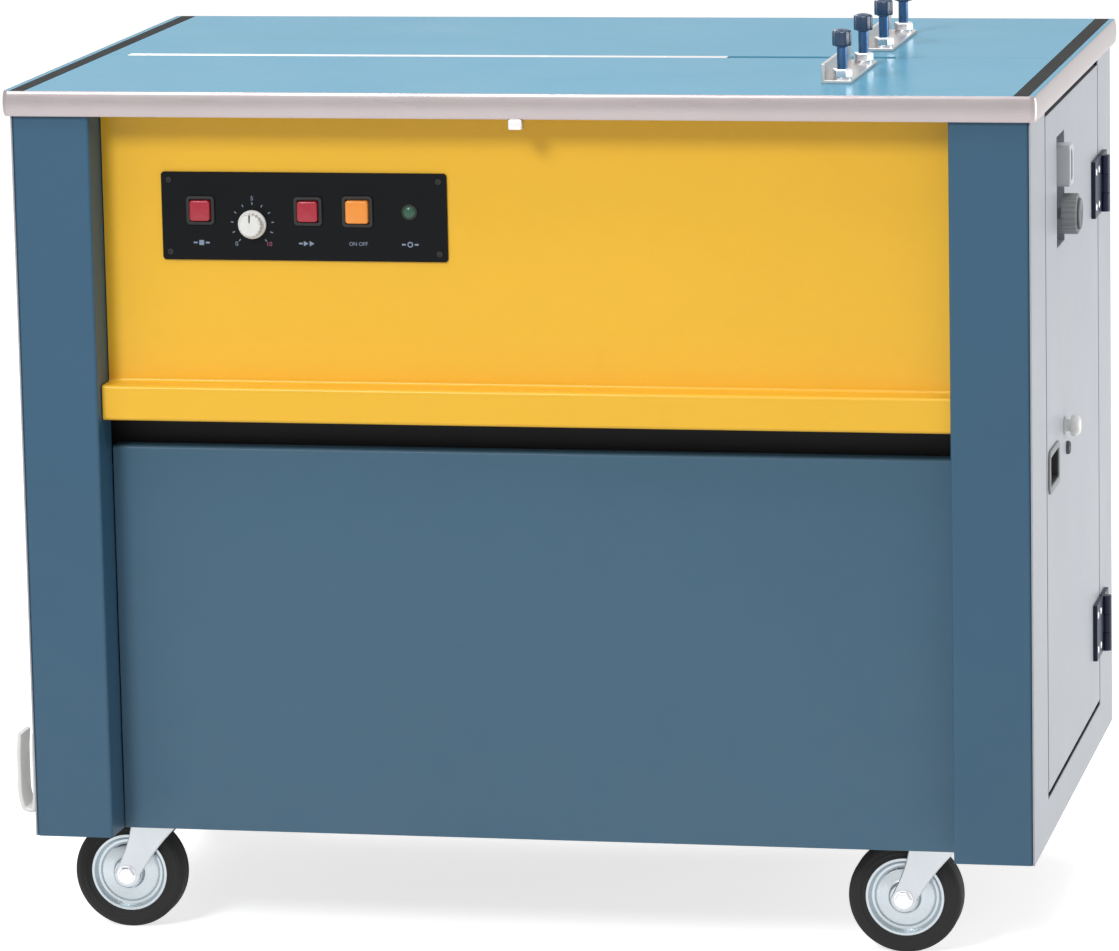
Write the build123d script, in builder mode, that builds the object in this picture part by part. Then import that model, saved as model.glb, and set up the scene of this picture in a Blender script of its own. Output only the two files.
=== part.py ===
"""A carton strapping machine: a wheeled sheet-metal cabinet under a work table with a strap slot.

Frame: origin on the floor under the middle of the table, +X to the right seen from the
operator's side, +Y away from the operator, +Z up. All sizes are in millimetres.
"""
import os
from math import atan2, degrees

from build123d import *

os.makedirs("parts", exist_ok=True)

# Table
table_length = 900.0
table_depth = 580.0
table_height = 765.0
rim_height = 22.0
rim_wall = 2.0
rim_corner = 6.0
ledge_reach = 44.0
ledge_thickness = 2.0
plate_thickness = 4.0
plate_gap = 0.3
seam_width = 1.0
table_overhang = 6.0

# Strap line across the table
slot_y = -20.0
slot_width = 14.0
slot_left_inset = 38.0
slot_right_inset = 158.0
chute_length = 150.0
channel_width = 70.0
channel_thickness = 3.0
chute_depth = 60.0
chute_wall = 3.0

# Cabinet
sheet = 1.5
bend = 3.0
skirt_clearance = 2.0
post_width = 70.0
post_side_return = 80.0
lower_recess = 40.0
panel_gap = 0.8

# Upper front and rear panels with their bent lip
upper_recess = 36.0
upper_lip_out = 24.0
upper_lip_drop = 31.0
upper_lip_return = 12.0
upper_face_height = 254.0

# Lower panels
lower_panel_gap = 27.0
lower_panel_fold = 18.0

# Dark rail behind the gap between the upper and lower panels
rail_back = 24.0
rail_rise = 10.0
rail_overlap = 22.0

# Base pan and casters
base_thickness = 3.0
pan_flange = 24.0
caster_inset = 93.0
caster_trail = 32.0
wheel_radius = 50.0
wheel_width = 28.0
hub_radius = 35.0
hub_boss_radius = 13.0
hub_web = 9.0
rim_band = 5.0
axle_radius = 5.0
axle_head_radius = 8.5
axle_head = 4.0
running_clearance = 0.06
wheel_side_gap = 3.0
fork_sheet = 3.0
fork_crown_gap = 5.5
fork_crown_length = 50.0
fork_ear_radius = 12.0
race_radius = 27.0
race_top_radius = 22.0
race_height = 21.2
race_gap = 0.3
caster_plate_x = 92.0
caster_plate_y = 84.0
caster_plate_thickness = 3.0
kingpin_radius = 6.0

# Right side with its door
side_strip = 94.0
door_sill = 5.0
door_head = 19.5
door_gap = 5.0
door_flange = 12.0
hinge_height = 52.0
hinge_from_top = 113.5
hinge_from_bottom = 78.0
hinge_frame_leaf = 30.0
hinge_door_leaf = 45.0
hinge_leaf_thickness = 4.0
hinge_knuckle_radius = 5.0
hinge_pin_radius = 2.0
hinge_split_gap = 0.3

# Fittings on the door
latch_inset = 39.0
latch_below_middle = 15.0
latch_length = 68.0
latch_height = 38.0
latch_bezel = 6.0
latch_depth = 10.0
latch_proud = 2.0
fittings_from_front = 222.0
door_knob_above_middle = 7.0
door_knob_radius = 9.5
door_knob_reach = 14.0
door_knob_neck = 5.0
door_knob_neck_radius = 5.0
lock_below_knob = 22.0
lock_behind_knob = 12.0
lock_radius = 6.0
lock_reach = 4.0

# Tension control, seen through a cut-out in the door
tension_from_front = 200.0
tension_knob_drop = 122.0
tension_knob_radius = 18.0
tension_scale_gap = 7.0
tension_scale_width = 26.0
tension_scale_height = 36.0
tension_window_width = 12.0
tension_cut_margin = 9.0
tension_plate_margin = 14.0
tension_collar_depth = 11.0
tension_plate_setback = 5.0
tension_shaft_radius = 5.0
side_reach = 18.0

# Control panel on the upper front panel
control_left_margin = 53.2
control_drop = 107.0
control_length = 254.0
control_height = 77.0
control_thickness = 2.0
button_row_rise = 5.0
dial_fall = 7.0
stop_button_offset = 35.0
dial_offset = 81.0
feed_button_offset = 131.0
power_switch_offset = 175.0
lamp_offset = 221.0
button_size = 18.0
button_corner = 3.0
button_proud = 6.0
button_depth = 14.0
button_clearance = 0.4
switch_size = 20.0
lamp_radius = 7.0
lamp_proud = 3.5
dial_radius = 12.5
dial_proud = 11.0
dial_seat_gap = 0.5
dial_shaft_radius = 3.0
dial_shaft_length = 10.0

# Carton stops on the table
stop_from_slot_end = 22.0
stop_near = 58.5
stop_far = 175.5
stop_end = 14.0
stop_foot_width = 26.0
stop_fence_height = 17.0
stop_sheet = 3.0
stop_height = 46.0
stop_head_radius = 9.0
stop_head_height = 16.0
stop_stud_radius = 5.0
stop_washer_radius = 8.0
stop_washer = 3.0

# Black strips along the table's ends
strip_width = 13.0
strip_inset = 5.0
strip_thickness = 1.2

# Catch under the front rim, and the cable hook at the left
catch_x = 4.0
catch_width = 12.0
catch_drop = 9.0
catch_depth = 12.0
hook_rise = 17.0
hook_height = 78.0
hook_depth = 30.0
hook_front_inset = 8.0
hook_wall = 5.0

# Strapping head and strap reel inside the cabinet
head_length = 290.0
head_depth = 150.0
head_height = 190.0
head_side_gap = 40.0
reel_from_side = 384.0
reel_clearance = 24.0
reel_flange_reach = 15.0
reel_side_gap = 25.0
reel_bracket_rise = 30.0
reel_width = 150.0
reel_flange = 3.0
reel_shaft_radius = 12.0
reel_bracket_width = 90.0
reel_bracket = 4.0

# Places worked out from the sizes above
caster_plate_under = 2 * wheel_radius + fork_crown_gap + race_height + race_gap
caster_mount_height = caster_plate_under + caster_plate_thickness
body_bottom = 2 * wheel_radius + skirt_clearance
plate_under = table_height - plate_thickness
body_top = plate_under - ledge_thickness
body_half_x = table_length / 2 - table_overhang
body_half_y = table_depth / 2 - table_overhang
rim_inner_x = table_length / 2 - rim_wall
rim_inner_y = table_depth / 2 - rim_wall
post_side_x = body_half_x - sheet
post_inner_x = body_half_x - post_width
panel_half_x = post_inner_x - panel_gap
lower_face_y = body_half_y - lower_recess
upper_face_y = body_half_y - upper_recess
upper_ledge_height = body_top - upper_face_height
upper_lip_bottom = upper_ledge_height - upper_lip_drop
lower_panel_top = upper_lip_bottom - lower_panel_gap
reach_x = body_half_x + side_reach
pan_top = caster_mount_height + base_thickness
slot_left = slot_left_inset - rim_inner_x
slot_right = rim_inner_x - slot_right_inset
guide_right = slot_right - chute_length
stop_x = slot_right - stop_from_slot_end
door_half_width = body_half_y - side_strip
door_bottom = pan_top + door_sill
door_top = body_top - door_head
door_edge = door_half_width - door_gap
door_low = door_bottom + door_gap
door_high = door_top - door_gap
door_middle = (door_low + door_high) / 2
hinge_upper = door_top - hinge_from_top
hinge_lower = door_bottom + hinge_from_bottom
hinge_axis_x = body_half_x + hinge_knuckle_radius + 1.0
hinge_axis_y = door_half_width - door_gap / 2
latch_y = latch_inset - door_edge
latch_z = door_middle - latch_below_middle
door_knob_y = fittings_from_front - body_half_y
door_knob_z = door_middle + door_knob_above_middle
lock_z = door_knob_z - lock_below_knob
lock_y = door_knob_y + lock_behind_knob
tension_y = tension_from_front - body_half_y
tension_knob_z = body_top - tension_knob_drop
tension_scale_z = tension_knob_z + tension_knob_radius + tension_scale_gap + tension_scale_height / 2
control_left = control_left_margin - panel_half_x
control_x = control_left + control_length / 2
control_z = body_top - control_drop
button_row_z = control_z + button_row_rise
dial_z = control_z - dial_fall
stop_button_x = control_left + stop_button_offset
dial_x = control_left + dial_offset
feed_button_x = control_left + feed_button_offset
power_switch_x = control_left + power_switch_offset
lamp_x = control_left + lamp_offset
hook_bottom = body_bottom + hook_rise


def export(piece: BuildPart, name: str) -> None:
    """Label a finished piece and write it to its own file."""
    piece.part.label = name
    export_step(piece.part, f"parts/{name}.step")


def folded_edges(points: list, side: Side) -> ShapeList:
    """Return the closed outline of a sheet folded along the points, its thickness to one side."""
    with BuildLine() as path:
        FilletPolyline(*points, radius=bend)
        offset(amount=sheet, side=side, kind=Kind.INTERSECTION)
    return path.edges()


# Table rim, a band of sheet round the table's edge
with BuildPart() as table_rim:
    with BuildSketch(Plane.XY.offset(table_height - rim_height)):
        RectangleRounded(table_length, table_depth, rim_corner)
        RectangleRounded(2 * rim_inner_x, 2 * rim_inner_y, rim_corner - rim_wall, mode=Mode.SUBTRACT)
    extrude(amount=rim_height)
export(table_rim, "table_rim")

# Flat frame inside the rim, which carries the plates and lies on the cabinet
with BuildPart() as table_ledge:
    with BuildSketch(Plane.XY.offset(body_top)):
        RectangleRounded(2 * rim_inner_x, 2 * rim_inner_y, rim_corner)
        Rectangle(2 * (rim_inner_x - ledge_reach), 2 * (rim_inner_y - ledge_reach), mode=Mode.SUBTRACT)
    extrude(amount=ledge_thickness)
export(table_ledge, "table_ledge")


def table_plate(name: str, direction: int) -> None:
    """Make one half of the table top, with its half of the slot and of the end strips' seats."""
    other_half_y = slot_y + direction * (seam_width / 2 - table_depth / 2)
    strip_seat_x = rim_inner_x - strip_inset - strip_width / 2
    with BuildPart() as plate:
        with BuildSketch(Plane.XY.offset(plate_under)):
            RectangleRounded(
                2 * (rim_inner_x - plate_gap), 2 * (rim_inner_y - plate_gap), rim_corner - rim_wall
            )
            with Locations((0, other_half_y)):
                Rectangle(table_length, table_depth, mode=Mode.SUBTRACT)
            with Locations(((slot_left + slot_right) / 2, slot_y)):
                Rectangle(slot_right - slot_left, slot_width, mode=Mode.SUBTRACT)
        extrude(amount=plate_thickness)
        with BuildSketch(Plane.XY.offset(table_height - strip_thickness)):
            with Locations((-strip_seat_x, 0), (strip_seat_x, 0)):
                Rectangle(strip_width, table_depth)
        extrude(amount=strip_thickness, mode=Mode.SUBTRACT)
    export(plate, name)


table_plate("table_plate_front", -1)
table_plate("table_plate_rear", 1)

# Black strips let into the table's two ends, one piece each
with BuildPart() as edge_strips:
    with BuildSketch(Plane.XY.offset(table_height - strip_thickness)):
        with Locations(*[(side * (rim_inner_x - strip_inset - strip_width / 2), 0) for side in (-1, 1)]):
            Rectangle(strip_width, 2 * (rim_inner_y - plate_gap))
    extrude(amount=strip_thickness)
export(edge_strips, "edge_strips")

# Channel under the slot, which carries both plates and guides the strap down
with BuildPart() as slot_channel:
    with BuildSketch(Plane.XY.offset(plate_under - channel_thickness)):
        with Locations((0, slot_y)):
            Rectangle(2 * (rim_inner_x - ledge_reach), channel_width)
    extrude(amount=channel_thickness)
    chute_mid_x = (guide_right + slot_right) / 2
    with BuildSketch(Plane.XY.offset(plate_under - chute_depth)):
        with Locations((chute_mid_x, slot_y)):
            Rectangle(chute_length + 2 * chute_wall, slot_width + 2 * chute_wall)
    extrude(amount=chute_depth - channel_thickness)
    with BuildSketch(Plane.XY.offset(plate_under - chute_depth + chute_wall)):
        with Locations((chute_mid_x, slot_y)):
            Rectangle(chute_length, slot_width)
    extrude(amount=chute_depth, mode=Mode.SUBTRACT)
export(slot_channel, "slot_channel")

# Bright strap guide that fills the left part of the slot
with BuildPart() as strap_guide:
    with BuildSketch(Plane.XY.offset(plate_under)):
        with Locations(((slot_left + guide_right) / 2, slot_y)):
            Rectangle(guide_right - slot_left - 2 * plate_gap, slot_width - 2 * plate_gap)
    extrude(amount=plate_thickness)
export(strap_guide, "strap_guide")


def corner_post(name: str, side_x: int, side_y: int) -> None:
    """Make one corner post: a sheet folded round the corner and back to the recessed panel."""
    points = [
        (side_x * post_side_x, side_y * (body_half_y - post_side_return)),
        (side_x * post_side_x, side_y * body_half_y),
        (side_x * post_inner_x, side_y * body_half_y),
        (side_x * post_inner_x, side_y * lower_face_y),
    ]
    inside = Side.LEFT if side_x * side_y > 0 else Side.RIGHT
    with BuildPart() as post:
        with BuildSketch(Plane.XY.offset(body_bottom)):
            make_face(folded_edges(points, inside))
        extrude(amount=body_top - body_bottom)
    export(post, name)


corner_post("post_front_left", -1, -1)
corner_post("post_front_right", 1, -1)
corner_post("post_rear_left", -1, 1)
corner_post("post_rear_right", 1, 1)


def upper_panel(name: str, side_y: int, with_controls: bool) -> None:
    """Make an upper panel, bent forward into a lip along its bottom edge."""
    lip_y = upper_face_y + upper_lip_out
    points = [
        (side_y * upper_face_y, body_top),
        (side_y * upper_face_y, upper_ledge_height),
        (side_y * lip_y, upper_ledge_height),
        (side_y * lip_y, upper_lip_bottom),
        (side_y * (lip_y - upper_lip_return), upper_lip_bottom),
    ]
    inside = Side.LEFT if side_y < 0 else Side.RIGHT
    with BuildPart() as panel:
        with BuildSketch(Plane.YZ.offset(-panel_half_x)):
            make_face(folded_edges(points, inside))
        extrude(amount=2 * panel_half_x)
        if with_controls:
            with BuildSketch(Plane.XZ.offset(upper_face_y)):
                control_holes()
            extrude(amount=4 * sheet, both=True, mode=Mode.SUBTRACT)
    export(panel, name)


def control_holes() -> None:
    """Add to the open sketch the holes that the buttons, the switch and the dial pass through."""
    with Locations((stop_button_x, button_row_z), (feed_button_x, button_row_z)):
        RectangleRounded(
            button_size + 2 * button_clearance, button_size + 2 * button_clearance, button_corner
        )
    with Locations((power_switch_x, button_row_z)):
        RectangleRounded(
            switch_size + 2 * button_clearance, switch_size + 2 * button_clearance, button_corner
        )
    with Locations((dial_x, dial_z)):
        Circle(dial_shaft_radius + running_clearance)


upper_panel("upper_front_panel", -1, True)
upper_panel("upper_rear_panel", 1, False)


def lower_panel(name: str, side_y: int) -> None:
    """Make a lower panel with its top edge folded inwards."""
    points = [
        (side_y * lower_face_y, body_bottom),
        (side_y * lower_face_y, lower_panel_top),
        (side_y * (lower_face_y - lower_panel_fold), lower_panel_top),
    ]
    inside = Side.RIGHT if side_y < 0 else Side.LEFT
    with BuildPart() as panel:
        with BuildSketch(Plane.YZ.offset(-panel_half_x)):
            make_face(folded_edges(points, inside))
        extrude(amount=2 * panel_half_x)
    export(panel, name)


lower_panel("lower_front_panel", -1)
lower_panel("lower_rear_panel", 1)

# Base pan with flanges turned down behind the panels
with BuildPart() as base_pan:
    pan_half_x = post_side_x - sheet
    pan_half_y = lower_face_y - sheet
    with BuildSketch(Plane.XY.offset(caster_mount_height - pan_flange)):
        Rectangle(2 * pan_half_x, 2 * pan_half_y)
    extrude(amount=pan_flange + base_thickness)
    with BuildSketch(Plane.XY.offset(caster_mount_height - pan_flange)):
        Rectangle(2 * (pan_half_x - base_thickness), 2 * (pan_half_y - base_thickness))
    extrude(amount=pan_flange, mode=Mode.SUBTRACT)
export(base_pan, "base_pan")

# Dark cross rails behind the gaps, front and rear, from post to post
with BuildPart() as cross_rails:
    rail_y = lower_face_y - rail_back - sheet / 2
    with BuildSketch(Plane.XY.offset(lower_panel_top - rail_overlap)):
        with Locations((0, rail_y), (0, -rail_y)):
            Rectangle(2 * (post_side_x - sheet), sheet)
    extrude(amount=upper_ledge_height + rail_rise - lower_panel_top + rail_overlap)
export(cross_rails, "cross_rails")

# Left side panel
with BuildPart() as left_side_panel:
    with BuildSketch(Plane.YZ.offset(-body_half_x)):
        with Locations((0, (body_bottom + body_top) / 2)):
            Rectangle(2 * body_half_y, body_top - body_bottom)
    extrude(amount=sheet)
export(left_side_panel, "left_side_panel")

# Right side frame round the door opening
with BuildPart() as right_side_frame:
    with BuildSketch(Plane.YZ.offset(post_side_x)):
        with Locations((0, (body_bottom + body_top) / 2)):
            Rectangle(2 * body_half_y, body_top - body_bottom)
        with Locations((0, (door_bottom + door_top) / 2)):
            Rectangle(2 * door_half_width, door_top - door_bottom, mode=Mode.SUBTRACT)
    extrude(amount=sheet)
export(right_side_frame, "right_side_frame")

# Side door, a shallow pan with its edges folded inwards
tension_cut_low = tension_knob_z - tension_knob_radius - tension_cut_margin
tension_cut_high = tension_scale_z + tension_scale_height / 2 + tension_cut_margin
tension_cut_width = 2 * (tension_knob_radius + tension_cut_margin)
tension_cut_height = tension_cut_high - tension_cut_low
tension_cut_middle = (tension_cut_low + tension_cut_high) / 2
with BuildPart() as side_door:
    with BuildSketch(Plane.YZ.offset(body_half_x - sheet - door_flange)):
        with Locations((0, door_middle)):
            Rectangle(2 * door_edge, door_high - door_low)
    extrude(amount=sheet + door_flange)
    with BuildSketch(Plane.YZ.offset(body_half_x - sheet - door_flange)):
        with Locations((0, door_middle)):
            Rectangle(2 * (door_edge - sheet), door_high - door_low - 2 * sheet)
    extrude(amount=door_flange, mode=Mode.SUBTRACT)
    with BuildSketch(Plane.YZ.offset(body_half_x)):
        with Locations((tension_y, tension_cut_middle)):
            Rectangle(tension_cut_width, tension_cut_height)
        with Locations((latch_y, latch_z)):
            Rectangle(latch_length - 2 * latch_bezel, latch_height - 2 * latch_bezel)
    extrude(amount=-2 * sheet, mode=Mode.SUBTRACT)
export(side_door, "side_door")

# Collar round the cut-out, spot-welded behind the door's face
with BuildPart() as tension_collar:
    with BuildSketch(Plane.YZ.offset(body_half_x - sheet)):
        with Locations((tension_y, tension_cut_middle)):
            Rectangle(tension_cut_width + 2 * sheet, tension_cut_height + 2 * sheet)
            Rectangle(tension_cut_width, tension_cut_height, mode=Mode.SUBTRACT)
    extrude(amount=-tension_collar_depth)
export(tension_collar, "tension_collar")

# Recessed pull in the door: a bezel on the outside and a cup behind it
with BuildPart() as door_latch:
    with BuildSketch(Plane.YZ.offset(body_half_x)):
        with Locations((latch_y, latch_z)):
            RectangleRounded(latch_length, latch_height, latch_bezel)
    extrude(amount=latch_proud)
    with BuildSketch(Plane.YZ.offset(body_half_x - latch_depth)):
        with Locations((latch_y, latch_z)):
            Rectangle(latch_length - 2 * latch_bezel, latch_height - 2 * latch_bezel)
    extrude(amount=latch_depth)
    with BuildSketch(Plane.YZ.offset(body_half_x - latch_depth + sheet)):
        with Locations((latch_y, latch_z)):
            Rectangle(
                latch_length - 2 * latch_bezel - 2 * sheet, latch_height - 2 * latch_bezel - 2 * sheet
            )
    extrude(amount=latch_depth + latch_proud, mode=Mode.SUBTRACT)
export(door_latch, "door_latch")

# White pull knob on the door
with BuildPart() as door_knob:
    with BuildSketch(Plane.YZ.offset(body_half_x)):
        with Locations((door_knob_y, door_knob_z)):
            Circle(door_knob_neck_radius)
    extrude(amount=door_knob_reach)
    with BuildSketch(Plane.YZ.offset(body_half_x + door_knob_neck)):
        with Locations((door_knob_y, door_knob_z)):
            Circle(door_knob_radius)
    extrude(amount=door_knob_reach - door_knob_neck)
    fillet(door_knob.faces().sort_by(Axis.X)[-1].edges(), 4.0)
export(door_knob, "door_knob")

# Key lock under the knob
with BuildPart() as door_lock:
    with BuildSketch(Plane.YZ.offset(body_half_x)):
        with Locations((lock_y, lock_z)):
            Circle(lock_radius)
    extrude(amount=lock_reach)
    chamfer(door_lock.faces().sort_by(Axis.X)[-1].edges(), 1.0)
export(door_lock, "door_lock")

# Hinges: a leaf and half the knuckle on the frame, the other leaf and knuckles on the door
knuckle_band = hinge_height / 3


def hinge_leaf_set(name: str, on_door: bool) -> None:
    """Make both hinges' leaves for one side: the frame's with its pin, or the door's."""
    direction = -1 if on_door else 1
    leaf = hinge_door_leaf if on_door else hinge_frame_leaf
    leaf_start = hinge_axis_y + direction * (hinge_knuckle_radius + 1.0)
    with BuildPart() as leaves:
        for middle in (hinge_lower, hinge_upper):
            with BuildSketch(Plane.YZ.offset(body_half_x)):
                with Locations((leaf_start + direction * leaf / 2, middle)):
                    Rectangle(leaf, hinge_height)
            extrude(amount=hinge_leaf_thickness)
            bands = [middle] if on_door else [middle - knuckle_band, middle + knuckle_band]
            for band in bands:
                low = band - knuckle_band / 2 + hinge_split_gap / 2
                with BuildSketch(Plane.XY.offset(low)):
                    with Locations((hinge_axis_x, hinge_axis_y)):
                        Circle(hinge_knuckle_radius)
                    with Locations(
                        (
                            body_half_x + hinge_leaf_thickness / 2,
                            (hinge_axis_y + leaf_start + direction) / 2,
                        )
                    ):
                        Rectangle(hinge_leaf_thickness, abs(leaf_start + direction - hinge_axis_y))
                extrude(amount=knuckle_band - hinge_split_gap)
            if on_door:
                with BuildSketch(Plane.XY.offset(middle - knuckle_band)):
                    with Locations((hinge_axis_x, hinge_axis_y)):
                        Circle(hinge_pin_radius + running_clearance)
                extrude(amount=2 * knuckle_band, mode=Mode.SUBTRACT)
            else:
                with BuildSketch(Plane.XY.offset(middle - hinge_height / 2 + hinge_split_gap / 2)):
                    with Locations((hinge_axis_x, hinge_axis_y)):
                        Circle(hinge_pin_radius)
                extrude(amount=hinge_height - hinge_split_gap)
    export(leaves, name)


hinge_leaf_set("hinge_frame_leaves", False)
hinge_leaf_set("hinge_door_leaves", True)

# Tension plate behind the door's cut-out, hung from the table rim's ledge
tension_plate_x = body_half_x - sheet - door_flange - tension_plate_setback - sheet
tension_plate_low = tension_cut_low - tension_plate_margin
with BuildPart() as tension_plate:
    with BuildSketch(Plane.YZ.offset(tension_plate_x)):
        with Locations((tension_y, (tension_plate_low + body_top) / 2)):
            Rectangle(tension_cut_width + 2 * tension_plate_margin, body_top - tension_plate_low)
        with Locations((tension_y, tension_knob_z)):
            Circle(tension_shaft_radius + running_clearance, mode=Mode.SUBTRACT)
    extrude(amount=sheet)
export(tension_plate, "tension_plate")

# Tension scale housing with its window
with BuildPart() as tension_scale:
    scale_back = tension_plate_x + sheet
    scale_front = body_half_x + side_reach * 0.55
    with BuildSketch(Plane.YZ.offset(scale_back)):
        with Locations((tension_y, tension_scale_z)):
            RectangleRounded(tension_scale_width, tension_scale_height, 3.0)
    extrude(amount=scale_front - scale_back)
    with BuildSketch(Plane.YZ.offset(scale_front)):
        with Locations((tension_y, tension_scale_z)):
            SlotOverall(
                tension_scale_height - tension_window_width / 2, tension_window_width, rotation=90
            )
    extrude(amount=-3.0, mode=Mode.SUBTRACT)
export(tension_scale, "tension_scale")

# Tension knob on its shaft
with BuildPart() as tension_knob:
    knob_base = body_half_x + 2.0
    with BuildSketch(Plane.YZ.offset(tension_plate_x - 8.0)):
        with Locations((tension_y, tension_knob_z)):
            Circle(tension_shaft_radius)
    extrude(amount=knob_base - tension_plate_x + 8.0)
    with BuildSketch(Plane.YZ.offset(knob_base)):
        with Locations((tension_y, tension_knob_z)):
            Circle(tension_knob_radius)
    extrude(amount=reach_x - knob_base)
    chamfer(tension_knob.faces().sort_by(Axis.X)[-1].edges(), 2.0)
export(tension_knob, "tension_knob")

# Control plate on the upper front panel
with BuildPart() as control_plate:
    with BuildSketch(Plane.XZ.offset(upper_face_y)):
        with Locations((control_x, control_z)):
            RectangleRounded(control_length, control_height, 3.0)
    extrude(amount=control_thickness)
    with BuildSketch(Plane.XZ.offset(upper_face_y)):
        control_holes()
    extrude(amount=control_thickness, mode=Mode.SUBTRACT)
export(control_plate, "control_plate")

plate_face = upper_face_y + control_thickness


def push_button(name: str, centre_x: float, size: float) -> None:
    """Make a square push button that slides through the control plate."""
    with BuildPart() as button:
        with BuildSketch(Plane.XZ.offset(plate_face - button_depth)):
            with Locations((centre_x, button_row_z)):
                RectangleRounded(size, size, button_corner - button_clearance)
        extrude(amount=button_depth + button_proud)
        chamfer(button.faces().sort_by(Axis.Y)[0].edges(), 0.8)
    export(button, name)


push_button("stop_button", stop_button_x, button_size)
push_button("feed_button", feed_button_x, button_size)
push_button("power_switch", power_switch_x, switch_size)

# Indicator lamp
with BuildPart() as lamp:
    with BuildSketch(Plane.XZ.offset(plate_face)):
        with Locations((lamp_x, button_row_z)):
            Circle(lamp_radius)
    extrude(amount=lamp_proud)
    fillet(lamp.faces().sort_by(Axis.Y)[0].edges(), lamp_proud * 0.6)
export(lamp, "indicator_lamp")

# Dial knob with its shaft
with BuildPart() as dial_knob:
    with BuildSketch(Plane.XZ.offset(plate_face - dial_shaft_length)):
        with Locations((dial_x, dial_z)):
            Circle(dial_shaft_radius)
    extrude(amount=dial_shaft_length + dial_seat_gap)
    with BuildSketch(Plane.XZ.offset(plate_face + dial_seat_gap)):
        with Locations((dial_x, dial_z)):
            Circle(dial_radius)
    extrude(amount=dial_proud, taper=4)
export(dial_knob, "dial_knob")


def stop_bracket(name: str, direction: int) -> None:
    """Make one carton stop: an angle with its foot on the table and a low fence."""
    middle = slot_y + direction * (stop_near + stop_far) / 2
    length = stop_far - stop_near + 2 * stop_end
    with BuildPart() as bracket:
        with BuildSketch(Plane.XY.offset(table_height)):
            with Locations((stop_x, middle)):
                Rectangle(stop_foot_width, length)
        extrude(amount=stop_sheet)
        with BuildSketch(Plane.XY.offset(table_height)):
            with Locations((stop_x - stop_foot_width / 2 + stop_sheet / 2, middle)):
                Rectangle(stop_sheet, length)
        extrude(amount=stop_fence_height)
    export(bracket, name)


stop_bracket("stop_bracket_front", -1)
stop_bracket("stop_bracket_rear", 1)

# Clamp knobs of the stops, each a washer, a stud and a round head
with BuildPart() as stop_knobs:
    knob_spots = [
        (stop_x + stop_sheet, slot_y + offset_y) for offset_y in (-stop_far, -stop_near, stop_near, stop_far)
    ]
    foot_top = table_height + stop_sheet
    knob_top = table_height + stop_height
    with BuildSketch(Plane.XY.offset(foot_top)):
        with Locations(*knob_spots):
            Circle(stop_washer_radius)
    extrude(amount=stop_washer)
    with BuildSketch(Plane.XY.offset(foot_top)):
        with Locations(*knob_spots):
            Circle(stop_stud_radius)
    extrude(amount=knob_top - foot_top)
    with BuildSketch(Plane.XY.offset(knob_top - stop_head_height)):
        with Locations(*knob_spots):
            Circle(stop_head_radius)
    extrude(amount=stop_head_height)
    chamfer(stop_knobs.faces().group_by(Axis.Z)[-1].edges(), 1.5)
export(stop_knobs, "stop_knobs")

# Catch under the middle of the front rim
with BuildPart() as front_catch:
    rim_bottom = table_height - rim_height
    with BuildSketch(Plane.XY.offset(rim_bottom - catch_drop)):
        with Locations((catch_x, -table_depth / 2 + catch_depth / 2)):
            Rectangle(catch_width, catch_depth)
    extrude(amount=catch_drop)
    fillet(front_catch.edges().filter_by(Axis.Z), 1.5)
export(front_catch, "front_catch")

# Cable hook near the foot of the left side
with BuildPart() as cable_hook:
    hook_y = -body_half_y + hook_front_inset + hook_depth / 2
    with BuildSketch(Plane.XZ.offset(-hook_y - hook_depth / 2)):
        with BuildLine():
            outer = -reach_x
            inner = -body_half_x
            hook_top = hook_bottom + hook_height
            Polyline(
                (inner, hook_top),
                (outer + hook_wall, hook_top),
                (outer, hook_top - hook_wall),
                (outer, hook_bottom + side_reach),
                (inner, hook_bottom),
                close=True,
            )
        make_face()
    extrude(amount=hook_depth)
export(cable_hook, "cable_hook")

# Casters
caster_x = body_half_x - caster_inset
caster_y = body_half_y - caster_inset
caster_corners = {
    "front_left": (-caster_x, -caster_y),
    "front_right": (caster_x, -caster_y),
    "rear_left": (-caster_x, caster_y),
    "rear_right": (caster_x, caster_y),
}
race_top = caster_plate_under - race_gap
crown_under = 2 * wheel_radius + fork_crown_gap
leg_inner = wheel_width / 2 + wheel_side_gap
race_taper = degrees(atan2(race_radius - race_top_radius, race_top - crown_under))

# Top plates of the casters, one flat piece at each corner of the pan
with BuildPart() as caster_plates:
    with BuildSketch(Plane.XY.offset(caster_plate_under)):
        with Locations(*caster_corners.values()):
            RectangleRounded(caster_plate_x, caster_plate_y, 6.0)
            Circle(kingpin_radius + running_clearance, mode=Mode.SUBTRACT)
    extrude(amount=caster_plate_thickness)
export(caster_plates, "caster_plates")


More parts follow.
